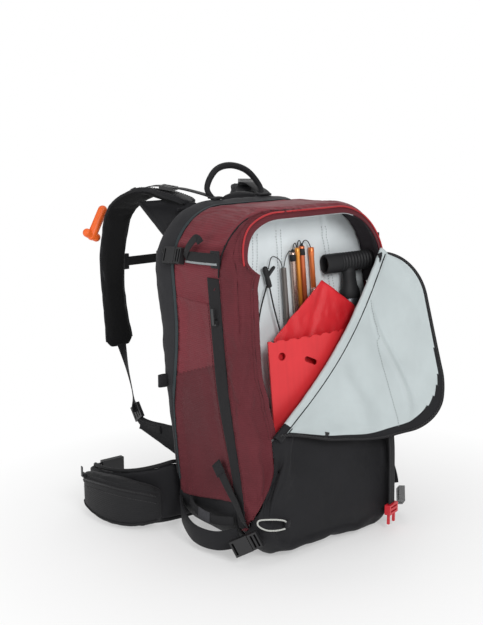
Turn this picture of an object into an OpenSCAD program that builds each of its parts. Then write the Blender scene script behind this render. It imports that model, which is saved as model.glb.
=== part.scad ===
/* [Bag] */
// Height of the bag above the ground
bag_h = 545; // [530:1:560]
// Width of the bag at the shoulders
bag_w = 336; // [326:1:344]
// Width of the bag at its base
base_w = 320; // [312:1:328]
// Depth of the bag at its base
base_d = 212; // [206:1:220]
// Slope of the outer face, in mm of depth per mm of height
front_lean = 0.12; // [0.1:0.005:0.14]
// Slope of the back, in mm of depth per mm of height
back_lean = 0.11; // [0.1:0.005:0.12]
// Radius of the bag's upper corners, seen from the front
crown_r = 104; // [98:1:110]
// Radius of the bag's lower corners, seen from the front
foot_r = 70; // [66:1:74]
// Radius of the edge around the outer face
edge_r = 30; // [28:1:32]
// Thickness of a fabric panel
cloth = 2.4; // [2:0.1:2.6]
// How far the lower front bulges out
belly = 13; // [8:1:16]

/* [Tool pocket] */
// Depth of the tool pocket behind the outer face
pocket_d = 62; // [58:1:66]
// Angle that the flap is folded open, from closed
flap_open = 168; // [150:1:170]
// Width of the shovel blade
blade_w = 196; // [180:1:200]
// Length of the shovel blade
blade_h = 258; // [240:1:262]
// Length of the shovel's grip
grip_w = 100; // [96:1:102]

/* [Harness] */
// Width of a shoulder strap
strap_w = 56; // [50:1:62]
// Distance that the shoulder straps stand behind the bag's back
strap_reach = 178; // [168:1:184]
// Height of a hip wing
wing_h = 96; // [88:1:100]
// Width of the compression webbing
web = 19; // [17:1:20]

/* [Hidden] */
$fn = 40;

maroon = "#7d3238";
maroon_dark = "#672930";
black = "#26272a";
dark_grey = "#35373a";
plastic = "#1b1b1d";
lining = "#c9ced0";
red = "#c4282f";

half_w = bag_w / 2;
crown_x = half_w - crown_r;
foot_x = half_w - foot_r;
crown_z = bag_h - crown_r;
crown_arc = crown_r * PI / 2;
foot_arc = foot_r * PI / 2;
flank = crown_z - foot_r;
half_ring = crown_x + crown_arc + flank + foot_arc + foot_x;
ring = 2 * half_ring;
// Radius of the edge around the back, and the gaps between neighbouring panels: gap is in mm
// and seam is in the units that from_face() uses.
back_r = 26;
gap = 0.6;
seam = 0.02;
// Fall of the crown towards the back.
crown_fall = 0.07;

function lerp(a, b, t) = a + (b - a) * t;
function clamp(t) = min(1, max(0, t));
function smooth(t) = clamp(t) * clamp(t) * (3 - 2 * clamp(t));
function unit(v) = v / norm(v);
function steps(a, b, n) = [for (i = [0:n]) lerp(a, b, i / n)];

// A curve through points, as n short steps between each pair.
function spline(a, b, c, d, t) =
    0.5 * (2 * b + (c - a) * t + (2 * a - 5 * b + 4 * c - d) * t * t
        + (3 * b - a - 3 * c + d) * t * t * t);
function curve(p, n = 4) = concat(
    [
        for (i = [0:len(p) - 2], j = [0:n - 1])
            spline(p[max(0, i - 1)], p[i], p[i + 1], p[min(len(p) - 1, i + 2)], j / n)
    ],
    [p[len(p) - 1]]
);

// The outer face and the back are leaning planes, and the bag narrows to its base.
function face_y(z) = -base_d / 2 + front_lean * z;
function back_y(z) = base_d / 2 + back_lean * z;
function narrow(z) = lerp(base_w / bag_w, 1, smooth(z / 380));
function belly_at(z) = belly * smooth((215 - z) / 110) * smooth((z + 20) / 80);

// The bag's outline: [x, z, nx, nz] at s mm from the top centre, to the right when positive.
function outline_half(a) =
    a < crown_x ? [a, bag_h, 0, 1]
    : a < crown_x + crown_arc
    ? let (q = (a - crown_x) / crown_r * 180 / PI)
        [crown_x + crown_r * sin(q), crown_z + crown_r * cos(q), sin(q), cos(q)]
    : a < crown_x + crown_arc + flank
    ? [half_w, crown_z - (a - crown_x - crown_arc), 1, 0]
    : a < half_ring - foot_x
    ? let (q = (a - crown_x - crown_arc - flank) / foot_r * 180 / PI)
        [foot_x + foot_r * cos(q), foot_r - foot_r * sin(q), cos(q), -sin(q)]
    : [half_ring - a, 0, 0, -1];
function signed(s) = s > half_ring ? s - ring : s;
function outline(s) =
    let (w = signed(s), p = outline_half(abs(w)), side = w < 0 ? -1 : 1)
    [side * p[0], p[1], side * p[2], p[3]];
function down_to(z) = crown_x + crown_arc + crown_z - z;

// A point of the outline moved inwards by o, on the plane y = y0 + slope * z.
function on_bag(s, o, y0, slope) =
    let (p = outline(s), z = p[1] - o * p[3], y = y0 + slope * z)
    [
        (p[0] - o * p[2]) * narrow(z),
        y,
        z - crown_fall * (y - face_y(z)) * smooth((z - crown_z + 60) / crown_r)
    ];
// From the outer face: e below 0 lies on the face, 0 to 1 is its rounded edge, and above 1 is
// the side, 100 mm to a unit. t is the depth below the outer skin.
function from_face(s, e, t = 0) =
    let (q = 90 * (1 - clamp(e)), r = edge_r - t)
    e < 0 ? on_bag(s, edge_r - 100 * e, t - base_d / 2, front_lean)
    : on_bag(s, edge_r - r * cos(q),
        edge_r - r * sin(q) + 100 * max(0, e - 1) - base_d / 2, front_lean);
// From the back: b 0 is the edge of the back plane, 1 the start of the side, then as above.
function from_back(s, b, t = 0) =
    let (q = 90 * (1 - clamp(b)), r = back_r - t)
    on_bag(s, back_r - r * cos(q),
        base_d / 2 - back_r + r * sin(q) - 100 * max(0, b - 1), back_lean);
function inset_to_e(o) = o > edge_r ? (edge_r - o) / 100 : 1 - acos(1 - o / edge_r) / 90;

// Heights of the boot's top edge and of the ends of the side zips.
boot_top = 84;
s_boot = down_to(boot_top);
s_strip = down_to(398);
s_hem = down_to(foot_r) + 20;
// Edges of the side zip tape, which drifts forwards as it goes down.
function height(s) = outline(s)[1];
function strip_mid(s) = lerp(0.95, 1.15, smooth((height(s) - 80) / 200));
function strip_front(s) = strip_mid(s) - 0.15;
function strip_back(s) = strip_mid(s) + 0.15;
// Front edge of the airbag collar, measured from the back.
function collar_b(s) = 1.04 + 0.22 * smooth((height(s) - 110) / 260);

// The pocket's opening runs from its low left end, over the crown, to its high right end.
s_low = -down_to(190);
s_high = crown_x + 0.88 * crown_arc;
s_tip = -crown_x - 0.3 * crown_arc;
function opening_inset(s) =
    lerp(34, 9, smooth((s + 260) / 140)) + 20 * smooth((-s - down_to(300)) / 110);
function opening_e(s) = inset_to_e(opening_inset(s));
function zip_point(s, o, t = 0) = from_face(s, inset_to_e(opening_inset(s) + o), t);
// Left edge of the black front panel below the opening.
function seam_inset(s) = lerp(0, 54, smooth((height(s) - 42) / 108));
// Front edge of the side and crown panels.
function crown_front(s) =
    abs(s) > s_strip ? strip_back(s) + seam
    : s < s_tip ? lerp(strip_front(s), opening_e(s) + 0.03, smooth((s + s_strip) / (s_tip + s_strip)))
    : s < s_high ? opening_e(s)
    : lerp(strip_front(s), opening_e(s_high), smooth((s_strip - s) / (s_strip - s_high)));
function seam_e(s) = min(inset_to_e(seam_inset(s)), strip_front(s) - 0.12);
// Outer edge of the front panel, all the way round below the opening.
function panel_edge(s) =
    let (w = signed(s))
    w > 0 ? (w < s_strip ? crown_front(w) - seam : w < s_hem ? strip_front(w) - 3 * seam : 0.94)
    : w < -s_hem - 30 ? 0.94
    : seam_e(w) - 2 * seam;

// The fold of the flap is a straight line between the two ends of the opening.
fold_low = zip_point(s_low, 5);
fold_high = zip_point(s_high, 5);
fold_axis = unit(fold_high - fold_low);
face_out = unit([0, -1, front_lean]);
fold_out = unit(face_out - (face_out * fold_axis) * fold_axis);
fold_across = cross(fold_out, fold_axis);
hinge_at = lerp(fold_low, fold_high, 0.5) + 4 * fold_out;
function fold_point(k, across = 0, out = 0) =
    lerp(fold_low, fold_high, k) + across * fold_across + out * fold_out;

// A thin solid between two grids of points that match one to one.
function wall(a, b, c, d) = [[a, b, c], [a, c, d]];
module sheet(outer, inner) {
    n = len(outer);
    m = len(outer[0]);
    k = n * m;
    last = k - m;
    faces = concat(
        [for (i = [0:n - 2], j = [0:m - 2]) each
            let (a = i * m + j) wall(a, a + 1, a + m + 1, a + m)],
        [for (i = [0:n - 2], j = [0:m - 2]) each
            let (a = i * m + j + k) wall(a, a + m, a + m + 1, a + 1)],
        [for (j = [0:m - 2]) each wall(j, j + k, j + 1 + k, j + 1)],
        [for (j = [0:m - 2]) each wall(last + j + 1, last + j + 1 + k, last + j + k, last + j)],
        [for (i = [0:n - 2]) each wall(i * m + m, i * m + m + k, i * m + k, i * m)],
        [for (i = [1:n - 1]) each
            wall(i * m - 1, i * m - 1 + k, i * m + m - 1 + k, i * m + m - 1)]
    );
    polyhedron([for (g = [outer, inner], row = g) each row], faces);
}
// A solid through a list of rings of points, closed at both ends.
module loft(rings) {
    n = len(rings);
    m = len(rings[0]);
    faces = concat(
        [for (i = [0:n - 2], j = [0:m - 1]) each
            wall(i * m + j, i * m + m + j, i * m + m + (j + 1) % m, i * m + (j + 1) % m)],
        [for (j = [1:m - 2]) [0, j, j + 1]],
        [for (j = [1:m - 2]) [(n - 1) * m, (n - 1) * m + j + 1, (n - 1) * m + j]]
    );
    polyhedron([for (r = rings) each r], faces);
}
// A pad or a band along a path. Its width lies along side and a pad has bevelled edges.
function section(p, dir, side, w, t, bevel) =
    let (s = unit(side - (side * dir) * dir), n = cross(dir, s), a = w / 2, b = t / 2)
    bevel == 0 ? [for (q = [[-a, -b], [a, -b], [a, b], [-a, b]]) p + q[0] * s + q[1] * n]
    : [
        for (q = [
            [-a, -b + bevel], [-a + bevel, -b], [a - bevel, -b], [a, -b + bevel],
            [a, b - bevel], [a - bevel, b], [-a + bevel, b], [-a, b - bevel]
        ]) p + q[0] * s + q[1] * n
    ];
module band(path, side, w, t, bevel = 0, taper = 1) {
    n = len(path) - 1;
    loft([
        for (i = [0:n])
            let (
                dir = unit(path[min(n, i + 1)] - path[max(0, i - 1)]),
                k = sin(180 * i / n),
                edge = i == 0 || i == n ? taper : 1
            )
            section(path[i], dir, side, w * edge, t, bevel)
    ]);
}
module mirrored() {
    children();
    mirror([1, 0, 0]) children();
}
module flat_slot(w, h) {
    union() {
        square([w - h, h], center = true);
        for (x = [-1, 1]) translate([x * (w - h) / 2, 0]) circle(d = h);
    }
}
module skin_patch(s_list, rows, thickness = cloth) {
    sheet([for (s = s_list) rows(s, 0)], [for (s = s_list) rows(s, thickness)]);
}

// Panels of the shell.
module left_side_panel() {
    rows = function (s, t) [
        for (k = steps(0, 1, 4))
            lerp(from_face(s, crown_front(s), t), from_back(s, collar_b(s) + 0.05, t), k)
    ];
    color(maroon) skin_patch(steps(-s_boot + gap, -s_strip - gap, 12), rows);
}
module right_side_panel() {
    mirror([1, 0, 0]) left_side_panel();
}
module crown_panel() {
    rows = function (s, t) concat(
        [for (e = steps(crown_front(s), 1.0, 3)) from_face(s, e, t)],
        [
            for (k = steps(0, 1, 3))
                lerp(from_face(s, 1.08, t), from_back(s, collar_b(s) + 0.05, t), k)
        ]
    );
    color(maroon) skin_patch(steps(-s_strip + gap, s_strip - gap, 26), rows);
}
module front_surround() {
    rows = function (s, t)
        let (
            inner = s < s_low ? seam_e(s) + 2 * seam : opening_e(s),
            outer = s < -s_strip ? strip_front(s) - seam : crown_front(s) - seam
        )
        [for (e = steps(inner, outer, 4)) from_face(s, e, t)];
    color(maroon_dark) skin_patch(steps(-s_hem, s_tip - 5, 24), rows);
}
module front_lower_panel() {
    from = s_high + 4;
    to = ring + s_low - 20;
    span = to - from;
    // The flat part ends where the rounded edge starts, or sooner near the top of the fold.
    edge = function (s, k, t)
        let (
            e = panel_edge(s), flat_e = lerp(0.44, 0, smooth((s - from) / 60)),
            turn = 1 - 0.3 * clamp(e / 0.3)
        )
        k > turn ? from_face(s, lerp(min(flat_e, e), e, (k - turn) / (1 - turn)), t)
        : lerp(
            fold_point(pow(1 - clamp((s - from) / span), 0.45), -3, -t),
            from_face(s, e > 0 ? min(flat_e, e) : e, t),
            k / turn);
    bulged = function (p, k) p - [0, belly_at(p[2]) * sin(180 * clamp(k)), 0];
    rows = function (s, t) [for (k = steps(0, 1, 8)) bulged(edge(s, k, t), k)];
    color(black) skin_patch(steps(from, to, 34), rows);
}
module base_boot() {
    front = function (s)
        abs(signed(s)) < s_hem ? strip_back(s) + seam
        : lerp(strip_back(s_hem) + seam, 1.0, smooth((abs(signed(s)) - s_hem) / 30));
    rows = function (s, t) concat(
        [
            for (k = steps(0, 1, 3))
                lerp(from_face(s, front(s), t), from_back(s, 1.0, t), k)
        ],
        [for (b = [0.66, 0.33, 0.02]) from_back(s, b, t)]
    );
    color(black) skin_patch(steps(s_boot + gap, ring - s_boot - gap, 26), rows);
}
module airbag_collar() {
    rows = function (s, t) [
        for (b = concat([collar_b(s)], steps(1, 0.02, 4))) from_back(s, b, t)
    ];
    color(dark_grey) skin_patch(steps(-s_boot + gap, s_boot - gap, 40), rows, 2);
}
module airbag_burst_zip() {
    rows = function (s, t) [
        for (b = [collar_b(s) + 0.045, collar_b(s) + 0.005]) from_back(s, b, t - 0.6)
    ];
    color("#3c4a4c") skin_patch(steps(-s_boot + 2, s_boot - 2, 36), rows, 2.6);
}
module side_zip_tapes() {
    rows = function (s, t) [
        for (e = steps(strip_front(s), strip_back(s), 3)) from_face(s, e, t)
    ];
    color("#303234") mirrored() skin_patch(steps(-s_hem, -s_strip - gap, 14), rows, 1.6);
}
module pocket_zip_tape() {
    rows = function (s, t) [for (o = [1, 8]) zip_point(s, o, t + 0.3)];
    color(red) skin_patch(steps(s_low + 3, s_high - 3, 36), rows, 1.8);
}
module pocket_divider() {
    at = function (s, t) on_bag(s, cloth + 3, pocket_d + t - base_d / 2, front_lean);
    rows = function (s, t) [for (k = steps(0, 1, 2)) lerp(at(-s, t), at(s, t), k)];
    color(lining) skin_patch(steps(crown_x - 4, half_ring - foot_x + 4, 22), rows);
}
module back_panel() {
    at = function (s, t) on_bag(s, back_r + gap, base_d / 2 + 1 - t, back_lean);
    rows = function (s, t) [for (k = steps(0, 1, 2)) lerp(at(-s, t), at(s, t), k)];
    color("#2b2c2e") skin_patch(steps(crown_x - 4, half_ring - foot_x + 4, 22), rows, 7);
}

// The frame, tilted with the bag's back.
back_tilt = -atan(back_lean);
module on_back(x, z, y) {
    translate([x, back_y(z) + y, z]) rotate([back_tilt, 0, 0]) children();
}
sheet_w = 210;
sheet_h = 410;
module frame_sheet() {
    corner = 36;
    color("#d8d4c8") on_back(0, 46, -11) difference() {
        translate([0, 1, sheet_h / 2]) rotate([90, 0, 0]) linear_extrude(2) union() {
            square([sheet_w, sheet_h - 2 * corner], center = true);
            square([sheet_w - 2 * corner, sheet_h], center = true);
            for (x = [-1, 1], z = [-1, 1])
                translate([x * (sheet_w / 2 - corner), z * (sheet_h / 2 - corner)]) circle(corner);
        }
        for (z = [110:90:290])
            translate([0, 5, z]) rotate([90, 0, 0]) linear_extrude(10) flat_slot(90, 26);
    }
}
module frame_stays() {
    color("#aeb4b8") on_back(0, 60, -15.5) for (x = [-72, 72])
        translate([x, 1.5, 190]) rotate([90, 0, 0]) linear_extrude(3) rotate(90) flat_slot(376, 13);
}

// The airbag and its electric inflator.
fan_z = 402;
fan_y = 62;
shaft_d = 8;
module stowed_airbag() {
    fold = function (s) on_bag(s, 44, base_d / 2 - 20, back_lean);
    color("#d9822b") band([for (s = steps(-s_boot + 170, s_boot - 170, 22)) fold(s)],
        [0, 1, 0], 18, 26, 5);
}
module inflator_housing() {
    color("#3a3d40") translate([0, fan_y, fan_z]) rotate([-90, 0, 0]) difference() {
        union() {
            cylinder(d = 92, h = 58, $fn = 64);
            translate([0, 0, 14]) cylinder(d = 100, h = 4, $fn = 64);
            translate([-20, 36, 8]) cube([40, 26, 34]);
        }
        translate([0, 0, -1]) cylinder(d = 84, h = 44, $fn = 64);
        translate([0, 0, 40]) cylinder(d = shaft_d + 0.1, h = 30);
        for (a = [0:45:315]) rotate(a) translate([28, 0, 40]) cylinder(d = 15, h = 30);
    }
}
module inflator_impeller() {
    color("#b9bec2") translate([0, fan_y, fan_z]) rotate([-90, 0, 0]) union() {
        translate([0, 0, 6]) cylinder(d = 34, h = 32);
        translate([0, 0, 30]) cylinder(d = shaft_d, h = 26);
        for (a = [0:45:315]) rotate(a) translate([14, 0, 17]) rotate([0, 62, 0])
            translate([-12, -0.9, 0]) cube([24, 1.8, 25]);
    }
}
module power_pack() {
    color("#4a4d50") translate([-46, 20, 278]) union() {
        cube([92, 46, 60]);
        for (x = [12, 35, 58]) translate([x + 11, 23, 60]) cylinder(d = 20, h = 5);
    }
}

// Webbing and buckles. The socket lies flat, with its mouth towards -Y and its back to +X.
socket_l = 30;
socket_w = 27;
socket_t = 10;
module socket() {
    difference() {
        translate([0, 0, -socket_w / 2]) cube([socket_t, socket_l, socket_w]);
        translate([2, -1, -socket_w / 2 + 2.4]) cube([socket_t - 4, 21, socket_w - 4.8]);
        for (z = [-1, 1]) translate([2, 6, z * socket_w / 2 - 3]) cube([socket_t - 4, 9, 6]);
        translate([-1, 24, -web / 2 - 0.6]) cube([socket_t + 2, 3.4, web + 1.2]);
    }
}
module plug() {
    lip = socket_w - 1;
    union() {
        difference() {
            translate([0, -17, -lip / 2]) cube([socket_t, 16, lip]);
            for (y = [-14.5, -8]) translate([-1, y, -web / 2 - 0.6])
                cube([socket_t + 2, 3.2, web + 1.2]);
        }
        translate([3, -1.5, -2.5]) cube([4, 18, 5]);
        for (z = [-1, 1]) translate([3, -1.5, z * 8.6 - 1.6]) cube([4, 16, 3.2]);
    }
}
// Where the upper buckle lies on the side: the top of the webbing's line, and its mouth.
upper_z = 470;
upper_s = -down_to(crown_z) + 30;
function side_at(z, u, out) = from_face(-down_to(z), 1 + (u - edge_r) / 100, -out);
function upper_at(u, out) =
    on_bag(upper_s, -out, u - base_d / 2, front_lean);
upper_mouth = upper_at(136, 1);
module at_upper() {
    translate(upper_mouth) rotate([-5, 0, 0]) rotate([0, 16.5, 0]) translate([-socket_t, 0, 0]) children();
}
lower_mouth = [-158, -91, 40];
module at_lower() {
    translate(lower_mouth) rotate([0, 0, 40]) rotate([-28, 0, 0])
        translate([-socket_t - 4, 0, 0]) children();
}
module buckle_sockets() {
    color(plastic) mirrored() {
        at_upper() socket();
        at_lower() socket();
    }
}
module upper_plug_left() {
    color(plastic) at_upper() plug();
}
module upper_plug_right() {
    mirror([1, 0, 0]) upper_plug_left();
}
module lower_plug_left() {
    color(plastic) at_lower() plug();
}
module lower_plug_right() {
    mirror([1, 0, 0]) lower_plug_left();
}
module compression_webbing() {
    up = [0, 0, 1];
    upper = [for (u = steps(100, 34, 5)) upper_at(u, 3.5)];
    upper_stub = [for (u = steps(169, 178, 2)) upper_at(u, 4)];
    lower = [
        for (k = steps(0, 1, 5))
            let (z = lerp(160, 76, k)) side_at(z, lerp(78, 44, k), 3.4)
    ];
    color(dark_grey) mirrored() {
        band(upper, up, web, 1.8);
        band(upper_stub, up, web, 1.8);
        band(lower, [0, 1, 0.4], web, 1.8);
    }
}
module grab_handle() {
    z = bag_h - 6;
    path = curve([
        [-50, back_y(z) - 24, z - 2], [-56, back_y(z) - 8, z + 22],
        [-12, back_y(z) + 2, z + 54], [12, back_y(z) + 2, z + 54],
        [56, back_y(z) - 8, z + 22], [50, back_y(z) - 24, z - 2]
    ], 5);
    color(black) band(path, [0, 1, 0], web, 4, 1);
}
module ski_loops() {
    path = curve([
        [-162, 92, 44], [-176, 66, 34], [-196, 12, 25], [-188, -38, 28], [-165, -66, 38]
    ], 4);
    color("#232426") mirrored() band(path, [0, 0.15, 1], 32, 2.6, 0.8);
}
module ski_strap() {
    path = curve([[128, -101, 176], [122, -113, 140], [117, -120, 90], [116, -122, 48]], 4);
    color(black) band(path, [1, 0.3, 0], web, 2);
}
module ski_strap_buckle() {
    color(red) translate([116, -122, 26]) rotate([0, 0, 17]) rotate([-90, 0, 0])
        rotate([0, 90, 0]) translate([0, -3.5, 0]) red_plug();
}
module red_plug() {
    difference() {
        translate([-5, -14, -14]) cube([10, 17, 28]);
        for (y = [-11, -4]) translate([-6, y, -web / 2 - 0.6]) cube([12, 3.2, web + 1.2]);
    }
    for (z = [-1, 1]) translate([-2, 2, z * 9 - 2]) cube([4, 18, 4]);
}
module web_loops() {
    color(black) {
        band([for (u = steps(150, 172, 3)) side_at(252, u, 4)], [0, 0, 1], 20, 3);
        translate([-120, face_y(70) - 16, 66]) rotate([90, 0, 0]) rotate_extrude(angle = 180)
            translate([15, 0]) circle(d = 3.4);
    }
}

// Harness.
strap_x = 134;
function strap_mid() =
    let (b = back_y(400) + strap_reach)
    [
        [-58, back_y(500) + 34, 527], [-80, back_y(500) + 66, 540], [-108, b - 66, 545],
        [-130, b - 18, 513], [-strap_x - 3, b, 450], [-strap_x - 3, b + 4, 390],
        [-strap_x, b + 1, 325], [-strap_x + 6, b - 2, 262]
    ];
module shoulder_strap_left() {
    color("#1f1f21") band(curve(strap_mid(), 4), [-1, 0.1, 0.1], strap_w, 15, 5, 0.7);
}
module shoulder_strap_right() {
    mirror([1, 0, 0]) shoulder_strap_left();
}
module shoulder_yoke() {
    yoke = function (y, z) let (w = 104, t = 14)
        [
            [-w, y, z - t], [w, y, z - t], [w + 2, y, z - t + 4], [w, y, z],
            [-w, y, z], [-w - 2, y, z - t + 4]
        ];
    color("#232325") loft([
        for (k = steps(0, 1, 3))
            yoke(lerp(back_y(500) + 7, back_y(500) + 20, k), lerp(478, 532, k))
    ]);
}
module load_lifter_webbing() {
    path = curve([
        [-75, back_y(520) - 8, 553], [-77, back_y(520) + 18, 563], [-79, back_y(520) + 40, 571]
    ], 4);
    color(dark_grey) mirrored() band(path, [-1, 0.2, 0], web, 1.8);
}
module ladder_lock() {
    difference() {
        translate([-14, -13, -3]) cube([28, 26, 6]);
        for (y = [-9, -1, 6]) translate([-web / 2 - 0.6, y, -4]) cube([web + 1.2, 3, 8]);
    }
}
module load_lifter_left() {
    color(plastic) translate([-84, back_y(500) + 70, 554]) rotate([8, 0, 38]) ladder_lock();
}
module load_lifter_right() {
    mirror([1, 0, 0]) load_lifter_left();
}
strap_foot = strap_mid()[7];
// Where the strap's webbing ends: the point of the stabiliser wing, and its buckle.
wing_point = [-126, 262, 134];
module anchor_buckles() {
    color(plastic) mirrored() translate(wing_point + [0, 15.5, 18]) rotate([52, 0, 0])
        rotate([0, 90, 0]) rotate([0, 0, 90]) ladder_lock();
}
module anchor_webbing() {
    path = curve([
        strap_foot + [0, -4, -6], strap_foot + [1, -18, -32], strap_foot + [1, -34, -72],
        wing_point + [0, 27, 34]
    ], 4);
    color(dark_grey) mirrored() {
        band(path, [-1, 0, 0], web, 1.8);
        loft([
            for (k = steps(0, 1, 4))
                let (
                    x = lerp(-116, wing_point[0], k), t = 2.5, y = wing_point[1],
                    low = lerp(104, wing_point[2] - 8, k), high = lerp(150, wing_point[2] + 8, k),
                    y_low = lerp(back_y(low) + 4, y, k), y_high = lerp(back_y(high) + 4, y, k)
                )
                [
                    [x - t, y_low, low], [x - t, y_high, high],
                    [x + t, y_high, high], [x + t, y_low, low]
                ]
        ]);
    }
}
sternum_z = 414;
sternum_y = back_y(400) + strap_reach + 16;
module sternum_clip() {
    difference() {
        translate([-13, -3, -14]) cube([26, 6, 28]);
        translate([-10.6, -4, -web / 2]) cube([4, 8, web]);
    }
}
module sternum_left() {
    color(plastic) {
        translate([-111, sternum_y - 2, sternum_z]) union() {
            sternum_clip();
            translate([12, -1, -8]) cube([71, 2, 16]);
            translate([77, -5, -12]) cube([26, 10, 24]);
        }
    }
}
module sternum_right() {
    color(plastic) translate([111, sternum_y - 2, sternum_z]) union() {
        mirror([1, 0, 0]) sternum_clip();
        translate([-95, -1, -8]) cube([85, 2, 16]);
        translate([-103, -4, -11]) cube([12, 8, 22]);
        for (z = [-1, 1]) translate([-113, -2, z * 7 - 2]) cube([12, 4, 4]);
    }
}
// A rounded bar that stands on the origin.
module capsule(d, h) {
    r = d / 2;
    arc = steps(0, 75, 5);
    rotate_extrude() polygon(concat(
        [[0, 0]],
        [for (a = arc) [r * sin(15 + a), r - r * cos(15 + a)]],
        [for (a = arc) [r * sin(90 - a), h - r + r * sin(a)]],
        [[0, h]]
    ));
}
module trigger_handle() {
    color("#ec661d") translate([-strap_x - 34, back_y(400) + strap_reach + 27, 457])
        rotate([0, 28, 0]) union() {
            capsule(17, 66);
            translate([-19, 0, 9]) rotate([0, 90, 0]) capsule(15.4, 36);
        }
}

// Hip belt. A wing leaves the lumbar pad sideways and wraps around the hip: its path is seen
// from above, and i counts the path's steps.
wing_path = curve([
    [-104, 124], [-142, 125], [-180, 130], [-212, 149], [-227, 186], [-226, 238], [-213, 284]
], 3);
wing_n = len(wing_path) - 1;
function wing_out(i) =
    let (d = unit(wing_path[min(wing_n, i + 1)] - wing_path[max(0, i - 1)])) [-d[1], d[0]];
function wing_at(i, out, z) =
    let (p = wing_path[i] + out * wing_out(i)) [p[0], p[1], z];
function wing_ring(i, low, high, t, off) =
    let (a = off + t / 2, b = off - t / 2, c = 3, d = 5)
    [
        wing_at(i, a - c, low), wing_at(i, a, low + d), wing_at(i, a, high - d),
        wing_at(i, a - c, high), wing_at(i, b + c, high), wing_at(i, b, high - d),
        wing_at(i, b, low + d), wing_at(i, b + c, low)
    ];
module lumbar_pad() {
    ring_at = function (y, o) [
        for (p = [
            [-96, 20], [-80, 6], [80, 6], [96, 20], [96, 96], [70, 116], [-70, 116], [-96, 96]
        ]) [p[0] * (1 - o / 96), back_y(p[1]) + y, p[1] + (p[1] > 50 ? -o : o)]
    ];
    color("#1f1f21") loft([ring_at(22, 8), ring_at(14, 0), ring_at(3, 0)]);
}
module hip_wing_left() {
    tip = wing_path[wing_n];
    color("#1f1f21") {
        loft([
            for (i = [0:wing_n])
                let (k = i / wing_n, rise = 14 * smooth(4 * k), fall = 40 * pow(k, 1.6))
                wing_ring(i, 4 + 12 * pow(k, 3), 98 * wing_h / 96 + rise - fall, 13, 0)
        ]);
        band([
            [tip[0] + 1, tip[1] + 1.5, 40], [tip[0] + 7, tip[1] + 20, 39],
            [tip[0] + 22, tip[1] + 34, 38], [tip[0] + 36, tip[1] + 38, 38]
        ], [0, 0, 1], 38, 2.4);
    }
}
module hip_wing_right() {
    mirror([1, 0, 0]) hip_wing_left();
}
pocket_from = 6;
pocket_to = 17;
function pocket_full(i) =
    sqrt(max(0, sin(180 * lerp(0.03, 0.97, (i - pocket_from) / (pocket_to - pocket_from)))));
function pocket_depth(i) = 9 + 20 * pocket_full(i) * lerp(1.15, 0.75, i / wing_n);
module hip_pocket_left() {
    color(dark_grey) loft([
        for (i = [pocket_from:pocket_to])
            let (full = pocket_full(i), t = pocket_depth(i))
            wing_ring(i, 16 - 12 * full, 62 + 36 * full - 10 * i / wing_n, t, 7.5 + t / 2)
    ]);
}
module hip_pocket_right() {
    mirror([1, 0, 0]) hip_pocket_left();
}
module zip_slider(pull = 14) {
    union() {
        translate([-5, -4, 0]) cube([10, 8, 4]);
        translate([-3, -pull - 2, 4.4]) cube([6, pull + 4, 1.6]);
        translate([-2, -2, 3]) cube([4, 4, 2]);
    }
}
module hip_slider_left() {
    i = 15;
    out = wing_out(i);
    color("#3a3b3d") translate(wing_at(i, 9.5 + pocket_depth(i), 72))
        rotate([0, 0, atan2(out[1], out[0])]) rotate([0, 90, 0]) rotate([0, 0, -90]) zip_slider();
}
module hip_slider_right() {
    mirror([1, 0, 0]) hip_slider_left();
}
// The buckle's halves lie in front of the wearer, each at the end of its wing's webbing.
module at_belt_end(side) {
    mirror([side, 0, 0]) translate([wing_path[wing_n][0] + 37, wing_path[wing_n][1] + 33, 18])
        children();
}
module hip_buckle_left() {
    color(plastic) at_belt_end(0) difference() {
        cube([44, 10, 40]);
        translate([14, 2, 4]) cube([40, 6, 32]);
    }
}
module hip_buckle_right() {
    color(plastic) at_belt_end(1) union() {
        translate([0, 1, 0]) cube([18, 8, 40]);
        for (z = [4, 28]) translate([17, 2.5, z]) cube([24, 5, 7]);
    }
}

// Tools in the pocket. Each stands on a spot of the outer face, tilted with it.
face_tilt = -atan(front_lean);
module on_face(x, z, depth) {
    translate([x, face_y(z) + depth, z]) rotate([face_tilt, 0, 0]) children();
}
blade_x = 11;
blade_z = 80;
module shovel_blade() {
    bow_r = 420;
    teeth = 9;
    color("#c9383d") on_face(blade_x, blade_z, 11) difference() {
        intersection() {
            translate([0, bow_r, 0]) difference() {
                cylinder(r = bow_r, h = blade_h, $fn = 96);
                translate([0, 0, -1]) cylinder(r = bow_r - 2.4, h = blade_h + 2, $fn = 96);
            }
            translate([-blade_w / 2, -20, 0]) cube([blade_w, 60, blade_h]);
        }
        for (i = [0:teeth - 1])
            translate([(i - (teeth - 1) / 2) * blade_w / teeth, -30, blade_h + 6])
                rotate([-90, 0, 0]) cylinder(d = 17, h = 80);
        for (x = [-76, 76]) translate([x, -30, blade_h - 26]) rotate([-90, 0, 0])
            cylinder(d = 13, h = 80);
        translate([-22, -30, blade_h - 40]) rotate([-90, 0, 0]) linear_extrude(80) rotate(25)
            flat_slot(26, 9);
    }
}
shaft_x = 112;
shaft_depth = 43;
grip_z = 438;
button_d = 10.2;
module shovel_handle() {
    color("#1c1c1e") on_face(shaft_x, grip_z, shaft_depth) union() {
        difference() {
            rotate([0, 0, -4]) translate([-grip_w / 2, 0, 0]) rotate([0, 90, 0])
                linear_extrude(grip_w) flat_slot(33, 25);
            rotate([0, 0, -4]) translate([-grip_w / 2 - 1, 0, 0]) rotate([0, 90, 0])
                linear_extrude(30) flat_slot(25, 17);
        }
        translate([0, 0, -52]) linear_extrude(42) flat_slot(26, 20);
        difference() {
            translate([0, 0, -225]) linear_extrude(175) flat_slot(36, 27);
            translate([0, -14.5, -86]) rotate([-90, 0, 0]) cylinder(d = button_d + 0.16, h = 8);
        }
    }
}
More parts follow.
